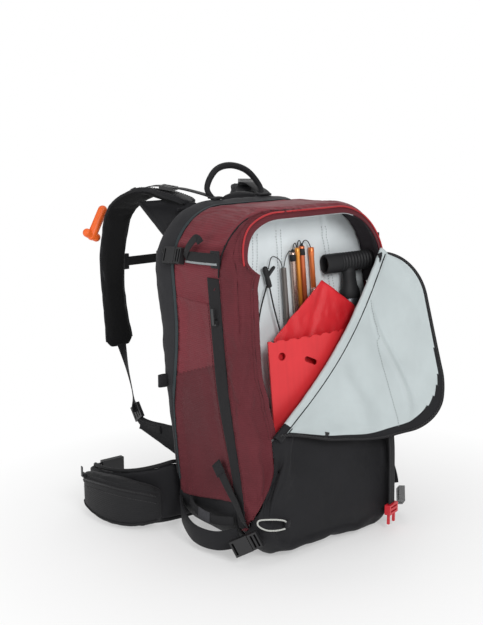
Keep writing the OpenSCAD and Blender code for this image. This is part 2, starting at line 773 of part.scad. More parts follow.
module shovel_lock_button() {
    color("#c8ccd0") on_face(shaft_x, grip_z, shaft_depth) translate([0, -16.5, -86]) rotate([-90, 0, 0])
        cylinder(d = button_d, h = 5.5);
}
module tool_sleeve() {
    color("#cf2a30") on_face(0, 84, 28.2) rotate([90, 0, 0]) linear_extrude(1.6)
        polygon([[-76, 0], [96, 0], [98, 250], [102, 290], [38, 337], [-72, 255]]);
}
probes = [[-22, 356, 8.5], [-1, 380, 9.5], [19, 388, 9.5], [39, 384, 9.5]];
module probe_sections() {
    color("#d9772f") for (p = probes) on_face(p[0], 86, 51.5) union() {
        cylinder(d = p[2], h = p[1]);
        cylinder(d = p[2] + 1.6, h = 22);
        translate([0, 0, p[1] - 12]) cylinder(d = p[2] + 1.2, h = 12);
    }
}
module probe_cord() {
    color("#1a1a1c") on_face(-59, 430, 49) union() {
        rotate([0, -12, 0]) translate([0, 0, -18]) cylinder(d = 9, h = 34);
        rotate([0, 48, 0]) cylinder(d = 6, h = 22);
        band(curve([[-2, 0, -19], [-22, -2, -52], [-34, -4, -98]], 5), [0, 1, 0], 2.6, 2.6);
        band(curve([[4, 0, -16], [8, -2, -50], [18, -2, -92]], 5), [0, 1, 0], 2.6, 2.6);
    }
}

// Zip sliders and the flap.
slider_z = 372;
module side_slider_left() {
    p = from_face(-down_to(slider_z), strip_mid(-down_to(slider_z)), -0.6);
    color("#3a3b3d") translate(p) rotate([-atan(front_lean), 0, 0]) rotate([0, -90, 0])
        rotate([0, 0, 90]) zip_slider(20);
}
module side_slider_right() {
    mirror([1, 0, 0]) side_slider_left();
}
module opened() {
    translate(hinge_at) rotate(a = flap_open, v = fold_axis) translate(-hinge_at) children();
}
function flap_edge(i, n, o, t) = zip_point(lerp(s_low + 38, s_high - 9, i / n), o, t);
module front_flap() {
    n = 30;
    base = function (i) fold_point(lerp(0.085, 0.97, i / n), 4.5);
    rows = function (i, t) [
        for (k = steps(0, 1, 6))
            let (p = lerp(base(i), flap_edge(i, n, 14, 0), k), flat = smooth((k - 0.6) / 0.4))
            lerp(p - t * fold_out, lerp(base(i), flap_edge(i, n, 14, t), k), flat)
    ];
    color(black) opened() skin_patch([0:n], rows);
}
module flap_zip_tape() {
    n = 36;
    rows = function (i, t) [for (o = [9.4, 13.4]) flap_edge(i, n, o, t + 0.2)];
    color(plastic) opened() skin_patch([0:n], rows, 2);
}
module flap_slider() {
    p = flap_edge(1, 12, 11, -0.8);
    color(plastic) opened() translate(p) rotate([90, 0, 0]) rotate([0, 0, 20]) zip_slider(16);
}

back_panel();
frame_sheet();
frame_stays();
left_side_panel();
right_side_panel();
crown_panel();
front_surround();
front_lower_panel();
base_boot();
airbag_collar();
airbag_burst_zip();
pocket_divider();
side_zip_tapes();
pocket_zip_tape();
tool_sleeve();
stowed_airbag();
inflator_housing();
inflator_impeller();
power_pack();
grab_handle();
ski_loops();
compression_webbing();
buckle_sockets();
upper_plug_left();
upper_plug_right();
lower_plug_left();
lower_plug_right();
ski_strap();
ski_strap_buckle();
web_loops();
shoulder_yoke();
shoulder_strap_left();
shoulder_strap_right();
load_lifter_webbing();
load_lifter_left();
load_lifter_right();
anchor_buckles();
anchor_webbing();
sternum_left();
sternum_right();
trigger_handle();
lumbar_pad();
hip_wing_left();
hip_wing_right();
hip_pocket_left();
hip_pocket_right();
hip_slider_left();
hip_slider_right();
hip_buckle_left();
hip_buckle_right();
shovel_blade();
shovel_handle();
shovel_lock_button();
probe_sections();
probe_cord();
side_slider_left();
side_slider_right();
flap_slider();
front_flap();
flap_zip_tape();
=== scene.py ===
"""Ski backpack: sewn shell, open tool pocket, harness and hip belt, built round the CAD frame."""
import math

import bmesh
import bpy
import numpy as np
from mathutils import Matrix, Vector, noise


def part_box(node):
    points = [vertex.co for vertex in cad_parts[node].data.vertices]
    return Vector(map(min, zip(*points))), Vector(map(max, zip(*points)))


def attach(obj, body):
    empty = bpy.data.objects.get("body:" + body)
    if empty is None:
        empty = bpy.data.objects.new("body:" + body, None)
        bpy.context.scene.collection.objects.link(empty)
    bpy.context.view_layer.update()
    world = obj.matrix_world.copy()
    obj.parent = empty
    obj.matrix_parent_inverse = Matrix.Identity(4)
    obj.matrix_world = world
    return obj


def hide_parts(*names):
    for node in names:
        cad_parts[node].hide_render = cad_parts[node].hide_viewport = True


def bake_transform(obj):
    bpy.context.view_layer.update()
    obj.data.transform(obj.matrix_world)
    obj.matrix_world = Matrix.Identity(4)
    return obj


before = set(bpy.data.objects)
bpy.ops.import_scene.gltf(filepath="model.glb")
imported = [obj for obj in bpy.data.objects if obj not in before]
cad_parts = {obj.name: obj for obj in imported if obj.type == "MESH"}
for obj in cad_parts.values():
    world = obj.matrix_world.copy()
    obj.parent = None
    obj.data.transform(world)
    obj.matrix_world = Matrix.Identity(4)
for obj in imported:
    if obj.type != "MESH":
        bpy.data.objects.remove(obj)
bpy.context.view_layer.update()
MM = 0.001
# A sheet is simulated at ten times its size, which suits the cloth solver.
SHEET_SCALE = 10 * MM
# How far a pad is set in before it swells, in mm.
PUFF_INSET = 2.5

# ---------------------------------------------------------------- driving dimensions, in mm
collar_low, collar_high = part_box("airbag_collar")
BAG_W = round((collar_high.x - collar_low.x) / MM, 1)
BAG_H = 545.0
BASE_W, BASE_D = 320.0, 212.0
FRONT_LEAN, BACK_LEAN = 0.12, 0.11
CROWN_R, FOOT_R, EDGE_R, BACK_R = 104.0, 70.0, 30.0, 26.0
CROWN_FALL = 0.07
POCKET_D = 62.0
BELLY = 13.0
FLAP_OPEN = math.radians(168)
STRAP_W, STRAP_REACH, STRAP_X = 56.0, 178.0, 134.0
WEB = 19.0
CLOTH = 2.2

HALF_W = BAG_W / 2
CROWN_X, FOOT_X = HALF_W - CROWN_R, HALF_W - FOOT_R
CROWN_Z = BAG_H - CROWN_R
CROWN_ARC, FOOT_ARC = CROWN_R * math.pi / 2, FOOT_R * math.pi / 2
FLANK = CROWN_Z - FOOT_R
HALF_RING = CROWN_X + CROWN_ARC + FLANK + FOOT_ARC + FOOT_X
RING = 2 * HALF_RING


# ---------------------------------------------------------------- small maths
def lerp(a, b, t):
    return a + (b - a) * t


def smooth(t):
    t = np.clip(t, 0, 1)
    return t * t * (3 - 2 * t)


def unit(v):
    v = np.asarray(v, float)
    return v / np.maximum(np.linalg.norm(v, axis=-1, keepdims=True), 1e-9)


def col(a):
    """A column next to points, so that numbers multiply vectors."""
    return np.asarray(a)[..., None]


def spline(points, n=8):
    """A smooth curve through points, n steps between each pair."""
    p = np.array(points, float)
    out = []
    for i in range(len(p) - 1):
        a, b, c, d = p[max(0, i - 1)], p[i], p[i + 1], p[min(len(p) - 1, i + 2)]
        for t in np.arange(n) / n:
            out.append(
                0.5 * (2 * b + (c - a) * t + (2 * a - 5 * b + 4 * c - d) * t**2
                       + (3 * b - a - 3 * c + d) * t**3))
    return np.array(out + [p[-1]])


def wobble(points, scale, seed=0.0, stretch=(1, 1, 1), octaves=3):
    """Smooth noise in -1..1 at points in mm, with features about scale mm across."""
    flat = points.reshape(-1, 3) / scale * np.array(stretch) + seed
    values = [noise.fractal(Vector(q), 1.0, 2.1, octaves) for q in flat]
    return np.array(values).reshape(points.shape[:-1])


# ---------------------------------------------------------------- the shell's surfaces
def outline(s):
    """Half width, height and normal of the bag's outline, s mm from the top centre."""
    s = np.asarray(s, float)
    w = np.where(s > HALF_RING, s - RING, s)
    a, side = np.abs(w), np.where(w < 0, -1.0, 1.0)
    top = (a - CROWN_X) / CROWN_R
    low = (a - CROWN_X - CROWN_ARC - FLANK) / FOOT_R
    where = [a < CROWN_X, a < CROWN_X + CROWN_ARC, a < CROWN_X + CROWN_ARC + FLANK,
             a < HALF_RING - FOOT_X]
    x = np.select(where, [a, CROWN_X + CROWN_R * np.sin(top), HALF_W + 0 * a,
                          FOOT_X + FOOT_R * np.cos(low)], HALF_RING - a)
    z = np.select(where, [BAG_H + 0 * a, CROWN_Z + CROWN_R * np.cos(top),
                          CROWN_Z - (a - CROWN_X - CROWN_ARC),
                          FOOT_R - FOOT_R * np.sin(low)], 0 * a)
    nx = np.select(where, [0 * a, np.sin(top), 1 + 0 * a, np.cos(low)], 0 * a)
    nz = np.select(where, [1 + 0 * a, np.cos(top), 0 * a, -np.sin(low)], -1 + 0 * a)
    return side * x, z, side * nx, nz


def height(s):
    return outline(s)[1]


def down_to(z):
    return CROWN_X + CROWN_ARC + CROWN_Z - z


def face_y(z):
    return -BASE_D / 2 + FRONT_LEAN * z


def back_y(z):
    return BASE_D / 2 + BACK_LEAN * z


def on_bag(s, o, y0, slope):
    """The outline moved inwards by o, on the plane y = y0 + slope * z."""
    x, z, nx, nz = outline(s)
    z = z - o * nz
    y = y0 + slope * z
    narrow = lerp(BASE_W / BAG_W, 1, smooth(z / 380))
    fall = CROWN_FALL * (y - face_y(z)) * smooth((z - CROWN_Z + 60) / CROWN_R)
    return np.stack(np.broadcast_arrays((x - o * nx) * narrow, y, z - fall), -1)


def from_face(s, e, t=0.0):
    """e below 0 is on the outer face, 0 to 1 its rounded edge, above 1 the side."""
    e = np.asarray(e, float)
    q = np.pi / 2 * (1 - np.clip(e, 0, 1))
    r = EDGE_R - t
    o = np.where(e < 0, EDGE_R - 100 * e, EDGE_R - r * np.cos(q))
    depth = np.where(e < 0, t, EDGE_R - r * np.sin(q) + 100 * np.maximum(0, e - 1))
    return on_bag(s, o, depth - BASE_D / 2, FRONT_LEAN)


def from_back(s, b):
    """b 0 is the edge of the back plane, 1 the start of the side."""
    b = np.asarray(b, float)
    q = np.pi / 2 * (1 - np.clip(b, 0, 1))
    return on_bag(s, BACK_R - BACK_R * np.cos(q),
                  BASE_D / 2 - BACK_R + BACK_R * np.sin(q) - 100 * np.maximum(0, b - 1), BACK_LEAN)


def inset_to_e(o):
    o = np.asarray(o, float)
    turn = np.arccos(np.clip(1 - o / EDGE_R, -1, 1))
    return np.where(o > EDGE_R, (EDGE_R - o) / 100, 1 - turn / (np.pi / 2))


BOOT_TOP = 84
# Places along the outline, in mm from its top centre: where the boot, the side zip and the hem
# of the front end, the ends of the flap's fold, and the ends of the crown's front seam.
S_BOOT, S_STRIP, S_HEM = down_to(BOOT_TOP), down_to(398), down_to(FOOT_R) + 20
S_LOW, S_HIGH = -down_to(190), CROWN_X + 0.88 * CROWN_ARC
S_TIP, S_TAPE = -15.0, down_to(442)


def strip_mid(s):
    return lerp(0.95, 1.15, smooth((height(s) - 80) / 200))


def collar_b(s):
    return lerp(0.8, 1.27, smooth((height(s) - 130) / 240))


def opening_inset(s):
    s = np.asarray(s, float)
    low = 20 * smooth((-s - down_to(300)) / 110)
    return lerp(34, 9, smooth((s + 260) / 140)) + low


def zip_point(s, o, t=0.0):
    return from_face(s, inset_to_e(opening_inset(s) + o), t)


def seam_inset(s):
    return lerp(0, 54, smooth((height(s) - 42) / 108))


def tape_top(s):
    """1 below the side zip's top, 0 above it, slanted across the zip."""
    return 1 - smooth((height(s) - 398) / 44)


def crown_front(s):
    """Front edge of the side panels and the crown."""
    s = np.asarray(s, float)
    opening = inset_to_e(opening_inset(s))
    front = strip_mid(s) - 0.15
    left = lerp(front, opening + 0.03, smooth((s + S_TAPE) / (S_TIP + S_TAPE)))
    right = lerp(front, inset_to_e(opening_inset(S_HIGH)), smooth((S_TAPE - s) / (S_TAPE - S_HIGH)))
    return np.select([np.abs(s) > S_TAPE, s < S_TIP, s < S_HIGH],
                     [front + 0.3 * tape_top(s), left, opening], right)


# How wide the facing is at some heights, where it curves away from the opening.
FACING_Z = (240, 254, 287, 342, 380, 425, 449, 458, 475)
FACING = (0, 4, 3, 4, 6, 8, 20, 13, 0)


def facing(s):
    """How far the cloth facing reaches past the left edge of the opening."""
    return np.interp(height(s), FACING_Z, FACING) * (np.asarray(s) < 0)


FOLD_LOW, FOLD_HIGH = zip_point(S_LOW, 5), zip_point(S_HIGH, 5)
FOLD_AXIS = unit(FOLD_HIGH - FOLD_LOW)
face_out = unit([0, -1, FRONT_LEAN])
FOLD_OUT = unit(face_out - np.dot(face_out, FOLD_AXIS) * FOLD_AXIS)
FOLD_ACROSS = np.cross(FOLD_OUT, FOLD_AXIS)
HINGE_AT = lerp(FOLD_LOW, FOLD_HIGH, 0.5) + 4 * FOLD_OUT
# How far the fold bows down at its middle.
FOLD_BOW = 21.0


def fold_point(k, across=0.0, out=0.0):
    return lerp(FOLD_LOW, FOLD_HIGH, col(k)) + col(across) * FOLD_ACROSS + col(out) * FOLD_OUT


def opened(points):
    """Points of the closed flap, turned about the fold to where it lies open."""
    turn = Matrix.Rotation(FLAP_OPEN, 3, Vector(FOLD_AXIS))
    return (points - HINGE_AT) @ np.array(turn).T + HINGE_AT


def on_face(x, z, depth):
    """A frame standing on the outer face: its origin and its x, y (inwards) and z axes."""
    up = unit([0, FRONT_LEAN, 1])
    into = unit([0, 1, -FRONT_LEAN])
    return np.array([x, face_y(z) + depth, z]), np.array([1.0, 0, 0]), into, up


# ---------------------------------------------------------------- meshes
def linked(name, data):
    """A new object in the scene, holding data."""
    obj = bpy.data.objects.new(name, data)
    bpy.context.collection.objects.link(obj)
    return obj


def mesh_of(name, points, faces, unit_size=MM):
    mesh = bpy.data.meshes.new(name)
    mesh.from_pydata([tuple(v) for v in np.asarray(points) * unit_size], [], faces)
    return mesh


def make(name, verts, faces, materials, body, replaces=(), face_mat=None):
    """A mesh object from points in mm, riding on a body, with the given materials."""
    mesh = mesh_of(name, verts, faces)
    for m in materials:
        mesh.materials.append(m)
    if face_mat is not None:
        mesh.polygons.foreach_set("material_index", np.asarray(face_mat, np.int32))
    mesh.polygons.foreach_set("use_smooth", [True] * len(mesh.polygons))
    mesh.validate()
    mesh.update()
    obj = linked(name, mesh)
    fix_normals(obj)
    if replaces:
        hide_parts(*replaces)
    if body:
        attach(obj, body)
    return obj


def fix_normals(obj):
    """Turns every face outwards."""
    bm = bmesh.new()
    bm.from_mesh(obj.data)
    bmesh.ops.recalc_face_normals(bm, faces=bm.faces)
    bm.to_mesh(obj.data)
    bm.free()


def normals_of(grid):
    du = np.gradient(grid, axis=0)
    dv = np.gradient(grid, axis=1)
    return unit(np.cross(du, dv))


def thick_grid(grid, thickness):
    """A closed sheet: the grid, its copy set in by thickness, and a rim.
    Gives its points, its faces and which side each face is on."""
    n, m = grid.shape[:2]
    inner = grid - normals_of(grid) * thickness
    verts = np.concatenate([grid.reshape(-1, 3), inner.reshape(-1, 3)])
    k = n * m
    faces, sides = [], []
    for i in range(n - 1):
        for j in range(m - 1):
            a, b, c, d = i * m + j, i * m + j + 1, (i + 1) * m + j + 1, (i + 1) * m + j
            faces += [(a, d, c, b), (a + k, b + k, c + k, d + k)]
            sides += [0, 1]
    rim = [i for i in range(m)] + [i * m + m - 1 for i in range(1, n)]
    rim += [(n - 1) * m + j for j in range(m - 2, -1, -1)] + [i * m for i in range(n - 2, 0, -1)]
    for a, b in zip(rim, rim[1:] + rim[:1]):
        faces.append((a, b, b + k, a + k))
        sides.append(0)
    return verts, faces, sides


def sheet(name, grid, thickness, material, replaces=()):
    """A sheet of cloth that stays on the bag."""
    verts, faces, _ = thick_grid(grid, thickness)
    return make(name, verts, faces, [material], "bag", replaces)


def edge_distance(grid):
    """Distance of each point of a grid from the grid's border, in mm, along each direction."""
    du = np.linalg.norm(np.diff(grid, axis=0), axis=-1)
    dv = np.linalg.norm(np.diff(grid, axis=1), axis=-1)
    su = np.concatenate([np.zeros((1, grid.shape[1])), np.cumsum(du, 0)], 0)
    sv = np.concatenate([np.zeros((grid.shape[0], 1)), np.cumsum(dv, 1)], 1)
    return np.minimum(su, su[-1:] - su), np.minimum(sv, sv[:, -1:] - sv)


def sewn(grid, puff, reach, pucker=0.7, wrinkle=1.2, seed=1.0, scale=70, stretch=(1, 1, 1),
         ends=True):
    """Gives a flat panel the look of sewn cloth: a low pillow, puckers and soft folds."""
    n = normals_of(grid)
    du, dv = edge_distance(grid)
    near = np.minimum(du, dv) if ends else dv
    pillow = puff * smooth(near / reach) ** 0.8
    hem = -np.exp(-(near / 3.0) ** 2)
    small = wobble(grid, 15, seed, octaves=2) * pucker * np.exp(-near / 20)
    folds = wobble(grid, scale, seed + 7.3, stretch, 3) * wrinkle * smooth(near / 25)
    return grid + n * col(pillow + hem + small + folds)


def ring_solid(rings):
    """A closed solid through rings of points that match one to one."""
    rings = np.asarray(rings, float)
    n, m = rings.shape[:2]
    faces = [(i * m + j, i * m + (j + 1) % m, (i + 1) * m + (j + 1) % m, (i + 1) * m + j)
             for i in range(n - 1) for j in range(m)]
    faces += [tuple(range(m))[::-1], tuple((n - 1) * m + j for j in range(m))]
    return rings.reshape(-1, 3), faces


def tangents(path):
    return unit(np.gradient(path, axis=0))


def frame_along(path, side):
    """Unit vectors across a path and out of its face. Side says roughly which way is across."""
    tan = tangents(path)
    side = np.broadcast_to(np.asarray(side, float), path.shape)
    side = unit(side - np.sum(side * tan, -1, keepdims=True) * tan)
    return side, np.cross(tan, side)


def tube(path, radius, n=8):
    """A round tube along a path, closed at its ends."""
    path = np.asarray(path, float)
    tan = tangents(path)
    side = np.cross(tan[0], [0, 0, 1.0])
    if np.linalg.norm(side) < 0.2:
        side = np.cross(tan[0], [0, 1.0, 0])
    side = unit(side)
    angles = np.arange(n) * 2 * np.pi / n
    rings = []
    for p, t, r in zip(path, tan, np.broadcast_to(radius, (len(path),))):
        side = unit(side - np.dot(side, t) * t)
        up = np.cross(t, side)
        rings.append(p + r * (np.outer(np.cos(angles), side) + np.outer(np.sin(angles), up)))
    return ring_solid(rings)


def ribbon(path, side, width, thickness, crown=0.0):
    """A band along a path, its width along side, with round edges and its middle raised by crown."""
    path = np.asarray(path, float)
    side, up = frame_along(path, side)
    r = thickness / 2
    profile = []
    for x, y, start in ((1, -1, -90), (1, 1, 0), (-1, 1, 90), (-1, -1, 180)):
        for a in (0, 45, 90):
            t = math.radians(start + a)
            profile.append((x, -r + r * math.cos(t) * x, y * (thickness / 2 - r) + r * math.sin(t)))
    rings = []
    for p, s, u in zip(path, side, up):
        wide = [(x * (width / 2 + inset), y) for x, inset, y in profile]
        rings.append([p + s * w + u * (y + crown * (1 - (2 * w / width) ** 2)) for w, y in wide])
    return ring_solid(rings)


def boxes(centres, xs, ys, zs, size):
    """Many small bevelled blocks, each with its own axes and the same size, as one mesh."""
    verts, faces = [], []
    corner = [(-1, -1), (1, -1), (1, 1), (-1, 1)]
    for c, x, y, z in zip(centres, xs, ys, zs):
        base = len(verts)
        for h, shrink in ((-1, 0.7), (-0.6, 1), (0.6, 1), (1, 0.7)):
            for i, j in corner:
                verts.append(c + x * (i * size[0] / 2 * shrink) + y * (j * size[1] / 2 * shrink)
                             + z * (h * size[2] / 2))
        for k in range(3):
            for i in range(4):
                a, b = base + 4 * k + i, base + 4 * k + (i + 1) % 4
                faces.append((a, b, b + 4, a + 4))
        faces.append((base + 3, base + 2, base + 1, base))
        faces.append((base + 12, base + 13, base + 14, base + 15))
    return np.array(verts), faces


def merged(parts):
    """Several (points, faces) as one, with the index of the part that each face came from."""
    verts, faces, which = [], [], []
    count = 0
    for i, (v, f) in enumerate(parts):
        verts.append(v)
        faces += [tuple(count + q for q in face) for face in f]
        which += [i] * len(f)
        count += len(v)
    return np.concatenate(verts), faces, which


def read_off(at, where, rows):
    """Rows of three numbers, known at where, read off at the values in at."""
    return np.stack([np.interp(at, where, rows[:, i]) for i in range(3)], 1)


def stretched(rows, count):
    return read_off(np.linspace(0, 1, count), np.linspace(0, 1, len(rows)), rows)


def along(path, pitch):
    """Evenly spaced points and directions on a path."""
    path = np.asarray(path, float)
    length = np.concatenate([[0], np.cumsum(np.linalg.norm(np.diff(path, axis=0), axis=1))])
    at = np.arange(pitch / 2, length[-1], pitch)
    return read_off(at, length, path), unit(read_off(at, length, tangents(path)))


STITCH = 2.6


def stitch_row(path, normal, pitch=4.0, radius=0.42):
    """Separate stitches lying on a surface along a path. Normal is one vector or one a point."""
    points, tan = along(path, pitch)
    if np.ndim(normal) == 2:
        normal = stretched(np.asarray(normal, float), len(points))
    normal = np.broadcast_to(unit(normal), points.shape)
    side = unit(np.cross(normal, tan))
    return boxes(points, tan, side, np.cross(tan, side), (STITCH, radius * 2, radius * 2))


def oval(centre, a, b, ra, rb, n=28):
    """A ring of points in the plane of a and b."""
    t = np.arange(n) * 2 * np.pi / n
    return (np.asarray(centre, float) + np.outer(np.cos(t) * ra, a) + np.outer(np.sin(t) * rb, b))


def turned(origin, axes, profile):
    """A turned solid standing on origin: profile lists its (radius, height)."""
    x, into, up = axes
    return ring_solid([oval(origin + up * h, x, into, r, r, 22) for r, h in profile])


def snapped(obj, points, lift=0.0):
    """The nearest points of an object's surface, lifted off it, and the surface's normals."""
    out, normals = [], []
    for q in np.asarray(points) * MM:
        _, place, normal, _ = obj.closest_point_on_mesh(Vector(q))
        out.append(np.array(place) / MM + np.array(normal) * lift)
        normals.append(normal)
    return np.array(out), np.array(normals)


def bend(obj, body, start, end):
    """Bakes a piece's transform into its mesh; the piece does not bend. Body, start and end are not
    used.
    """
    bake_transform(obj)


def trim(name, parts, body, replaces=()):
    """One object from (points, faces, material) parts."""
    verts, faces, which = merged([part[:2] for part in parts])
    materials = []
    for part in parts:
        if part[2] not in materials:
            materials.append(part[2])
    index = [materials.index(parts[i][2]) for i in which]
    return make(name, verts, faces, materials, body, replaces, index)


def paint(obj, material, test):
    """Gives a second material to the faces for which test(middles, normals) is true."""
    mesh = obj.data
    mesh.materials.append(material)
    middle, normal = np.empty(len(mesh.polygons) * 3), np.empty(len(mesh.polygons) * 3)
    mesh.polygons.foreach_get("center", middle)
    mesh.polygons.foreach_get("normal", normal)
    chosen = test(middle.reshape(-1, 3) / MM, normal.reshape(-1, 3))
    index = np.where(chosen, len(mesh.materials) - 1, 0).astype(np.int32)
    mesh.polygons.foreach_set("material_index", index)


def laid_path(obj, points, lift):
    """A path eased onto an object's surface, with the directions across and off it."""
    path, normal = snapped(obj, points, lift)
    for _ in range(2):
        path[1:-1] = (path[:-2] + 2 * path[1:-1] + path[2:]) / 4
    return path, np.cross(normal, tangents(path)), normal


def laid(obj, points, width, thickness, lift=0.6):
    """A band lying on an object's surface, following points."""
    path, side, _ = laid_path(obj, points, lift)
    return ribbon(path, side, width, thickness)


def stitched(obj, points, lift=0.25, pitch=4.2):
    path, normal = snapped(obj, points, lift)
    return stitch_row(path, normal, pitch, 0.45)


def zip_line(obj, points):
    """A coil zip lying on an object's surface: its tape and its teeth."""
    path, side, normal = laid_path(obj, points, 0.5)
    tape = ribbon(path, side, 8.0, 1.4)
    at, along_it = along(path + normal * 0.9, 2.4)
    up = unit(stretched(normal, len(at)))
    across = unit(np.cross(up, along_it))
    return tape, boxes(at, across, along_it, up, (3.2, 1.4, 1.6))


# ---------------------------------------------------------------- cloth
def simulated(obj, frames, **settings):
    """Where cloth simulation, without gravity, takes an object's points."""
    cloth = obj.modifiers.new("Cloth", "CLOTH")
    for key, value in settings.items():
        setattr(cloth.settings, key, value)
    cloth.settings.use_pressure = True
    cloth.settings.effector_weights.gravity = 0
    cloth.collision_settings.use_collision = False
    for f in range(1, frames + 1):
        bpy.context.scene.frame_set(f)
    done = obj.evaluated_get(bpy.context.evaluated_depsgraph_get()).data
    points = np.array([v.co for v in done.vertices])
    obj.modifiers.remove(cloth)
    bpy.context.scene.frame_set(1)
    return points


def capped(start, end, cap):
    """The end points, with none further than cap from its start."""
    move = end - start
    far = np.linalg.norm(move, axis=-1, keepdims=True)
    return start + move * np.minimum(1, cap / np.maximum(far, 1e-9))


def drape(grid, pressure, grow, cap):
    """Cloth simulation of an open sheet, held at its border. Returns the relaxed grid."""
    n, m = grid.shape[:2]
    faces = [(i * m + j, i * m + j + 1, (i + 1) * m + j + 1, (i + 1) * m + j)
             for i in range(n - 1) for j in range(m - 1)]
    obj = linked("sheet", mesh_of("sheet", grid.reshape(-1, 3), faces, SHEET_SCALE))
    held = np.ones((n, m), bool)
    held[1:-1, 1:-1] = False
    group = obj.vertex_groups.new(name="pin")
    group.add([int(i) for i in np.flatnonzero(held.reshape(-1))], 1.0, "REPLACE")
    points = simulated(obj, 14, vertex_group_mass="pin", quality=5, mass=0.3, tension_stiffness=12,
                       compression_stiffness=12, shear_stiffness=6, bending_stiffness=2.5,
                       air_damping=4, uniform_pressure_force=pressure, shrink_min=-grow)
    bpy.data.objects.remove(obj)
    return capped(grid, points.reshape(n, m, 3) / SHEET_SCALE, cap)


def set_points(obj, points):
    for v, c in zip(obj.data.vertices, points):
        v.co = c


def puffed(name, node, material, body, voxel=4.5, pressure=4.0, cap=6.0, verts=None,
           faces=None):
    """A padded piece, swollen by cloth simulation from the CAD solid or from points in mm."""
    if verts is None:
        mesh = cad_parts[node].data.copy()
        mesh.name = name
        mesh.materials.clear()
    else:
        mesh = mesh_of(name, verts, faces)
    obj = linked(name, mesh)
    fix_normals(obj)
    bpy.context.view_layer.objects.active = obj
    bpy.ops.object.select_all(action="DESELECT")
    obj.select_set(True)

    def apply(kind, **settings):
        modifier = obj.modifiers.new(kind, kind)
        for key, value in settings.items():
            setattr(modifier, key, value)
        bpy.ops.object.modifier_apply(modifier=modifier.name)
    apply("REMESH", mode="VOXEL", voxel_size=voxel * MM)
    start = np.array([v.co for v in obj.data.vertices])
    start = start - np.array([v.normal for v in obj.data.vertices]) * PUFF_INSET * MM
    set_points(obj, start)
    end = simulated(obj, 18, quality=4, uniform_pressure_force=pressure, tension_stiffness=12,
                    compression_stiffness=12, bending_stiffness=1.2)
    set_points(obj, capped(start, end, cap * MM))
    apply("SMOOTH", factor=0.5, iterations=3)
    apply("SUBSURF", levels=1, render_levels=1)
    obj.data.materials.append(material)
    obj.data.polygons.foreach_set("use_smooth", [True] * len(obj.data.polygons))
    if node:
        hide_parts(node)
    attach(obj, body)
    return obj


# ---------------------------------------------------------------- materials
def new_material(name):
    m = bpy.data.materials.new(name)
    m.use_nodes = True
    tree = m.node_tree
    return m, tree, tree.nodes["Principled BSDF"]


def node(tree, kind, **values):
    n = tree.nodes.new(kind)
    for key, value in values.items():
        if key in n.inputs:
            n.inputs[key].default_value = value
        else:
            setattr(n, key, value)
    return n


def feed(tree, socket, value):
    """Links a socket to another, or gives it a value."""
    if isinstance(value, bpy.types.NodeSocket):
        tree.links.new(value, socket)
    else:
        socket.default_value = value


def mix(tree, factor, a, b):
    """A colour mix node. Factor is a socket, and a and b are sockets or colours."""
    n = tree.nodes.new("ShaderNodeMix")
    n.data_type = "RGBA"
    for index, value in ((0, factor), (6, a), (7, b)):
        feed(tree, n.inputs[index], (*value, 1) if isinstance(value, tuple) else value)
    return n.outputs[2]


def maths(tree, kind, a, b=0.0):
    n = node(tree, "ShaderNodeMath", operation=kind)
    for i, value in enumerate((a, b)):
        feed(tree, n.inputs[i], value)
    return n.outputs[0]


def scaled(tree, a, b):
    return maths(tree, "MULTIPLY", a, b)


def noise_at(tree, coord, scale, detail):
    n = node(tree, "ShaderNodeTexNoise", Scale=scale, Detail=detail)
    tree.links.new(coord, n.inputs["Vector"])
    return n.outputs["Fac"]


def worn_and_highlit_edges(tree, base, light, start, gain):
    """Lightens the sharp edges of a colour: partly scuffing, partly a painted highlight where edges
    catch the light.
    """
    edge = node(tree, "ShaderNodeNewGeometry").outputs["Pointiness"]
    wear_and_highlight = node(tree, "ShaderNodeClamp")
    tree.links.new(scaled(tree, maths(tree, "SUBTRACT", edge, start), gain), wear_and_highlight.inputs["Value"])
    return mix(tree, wear_and_highlight.outputs[0], base, light)


def surface(tree, bsdf, base, relief, strength, distance, **inputs):
    """Joins a material's colour, relief and other inputs, with _ for each space in a name."""
    bump = node(tree, "ShaderNodeBump", Strength=strength, Distance=distance)
    tree.links.new(relief, bump.inputs["Height"])
    tree.links.new(bump.outputs[0], bsdf.inputs["Normal"])
    tree.links.new(base, bsdf.inputs["Base Color"])
    for key, value in inputs.items():
        feed(tree, bsdf.inputs[key.replace("_", " ")], value)


def linear(r, g, b):
    """An sRGB colour of 0..255 as linear light."""
    def one(c):
        c /= 255
        return c / 12.92 if c <= 0.04045 else ((c + 0.055) / 1.055) ** 2.4
    return one(r), one(g), one(b)


# Blender's wave texture repeats every pi / 10 of its coordinate at scale 1.
WAVE_METRE = 0.314159


def stripes(tree, coord, direction, pitch):
    """Bands across direction, pitch metres apart, as a 0..1 value."""
    w = node(tree, "ShaderNodeTexWave", wave_type="BANDS", bands_direction=direction,
             wave_profile="SIN", Scale=WAVE_METRE / pitch, Distortion=0.0, Detail=0.0)
    tree.links.new(coord, w.inputs["Vector"])
    return w.outputs["Fac"]


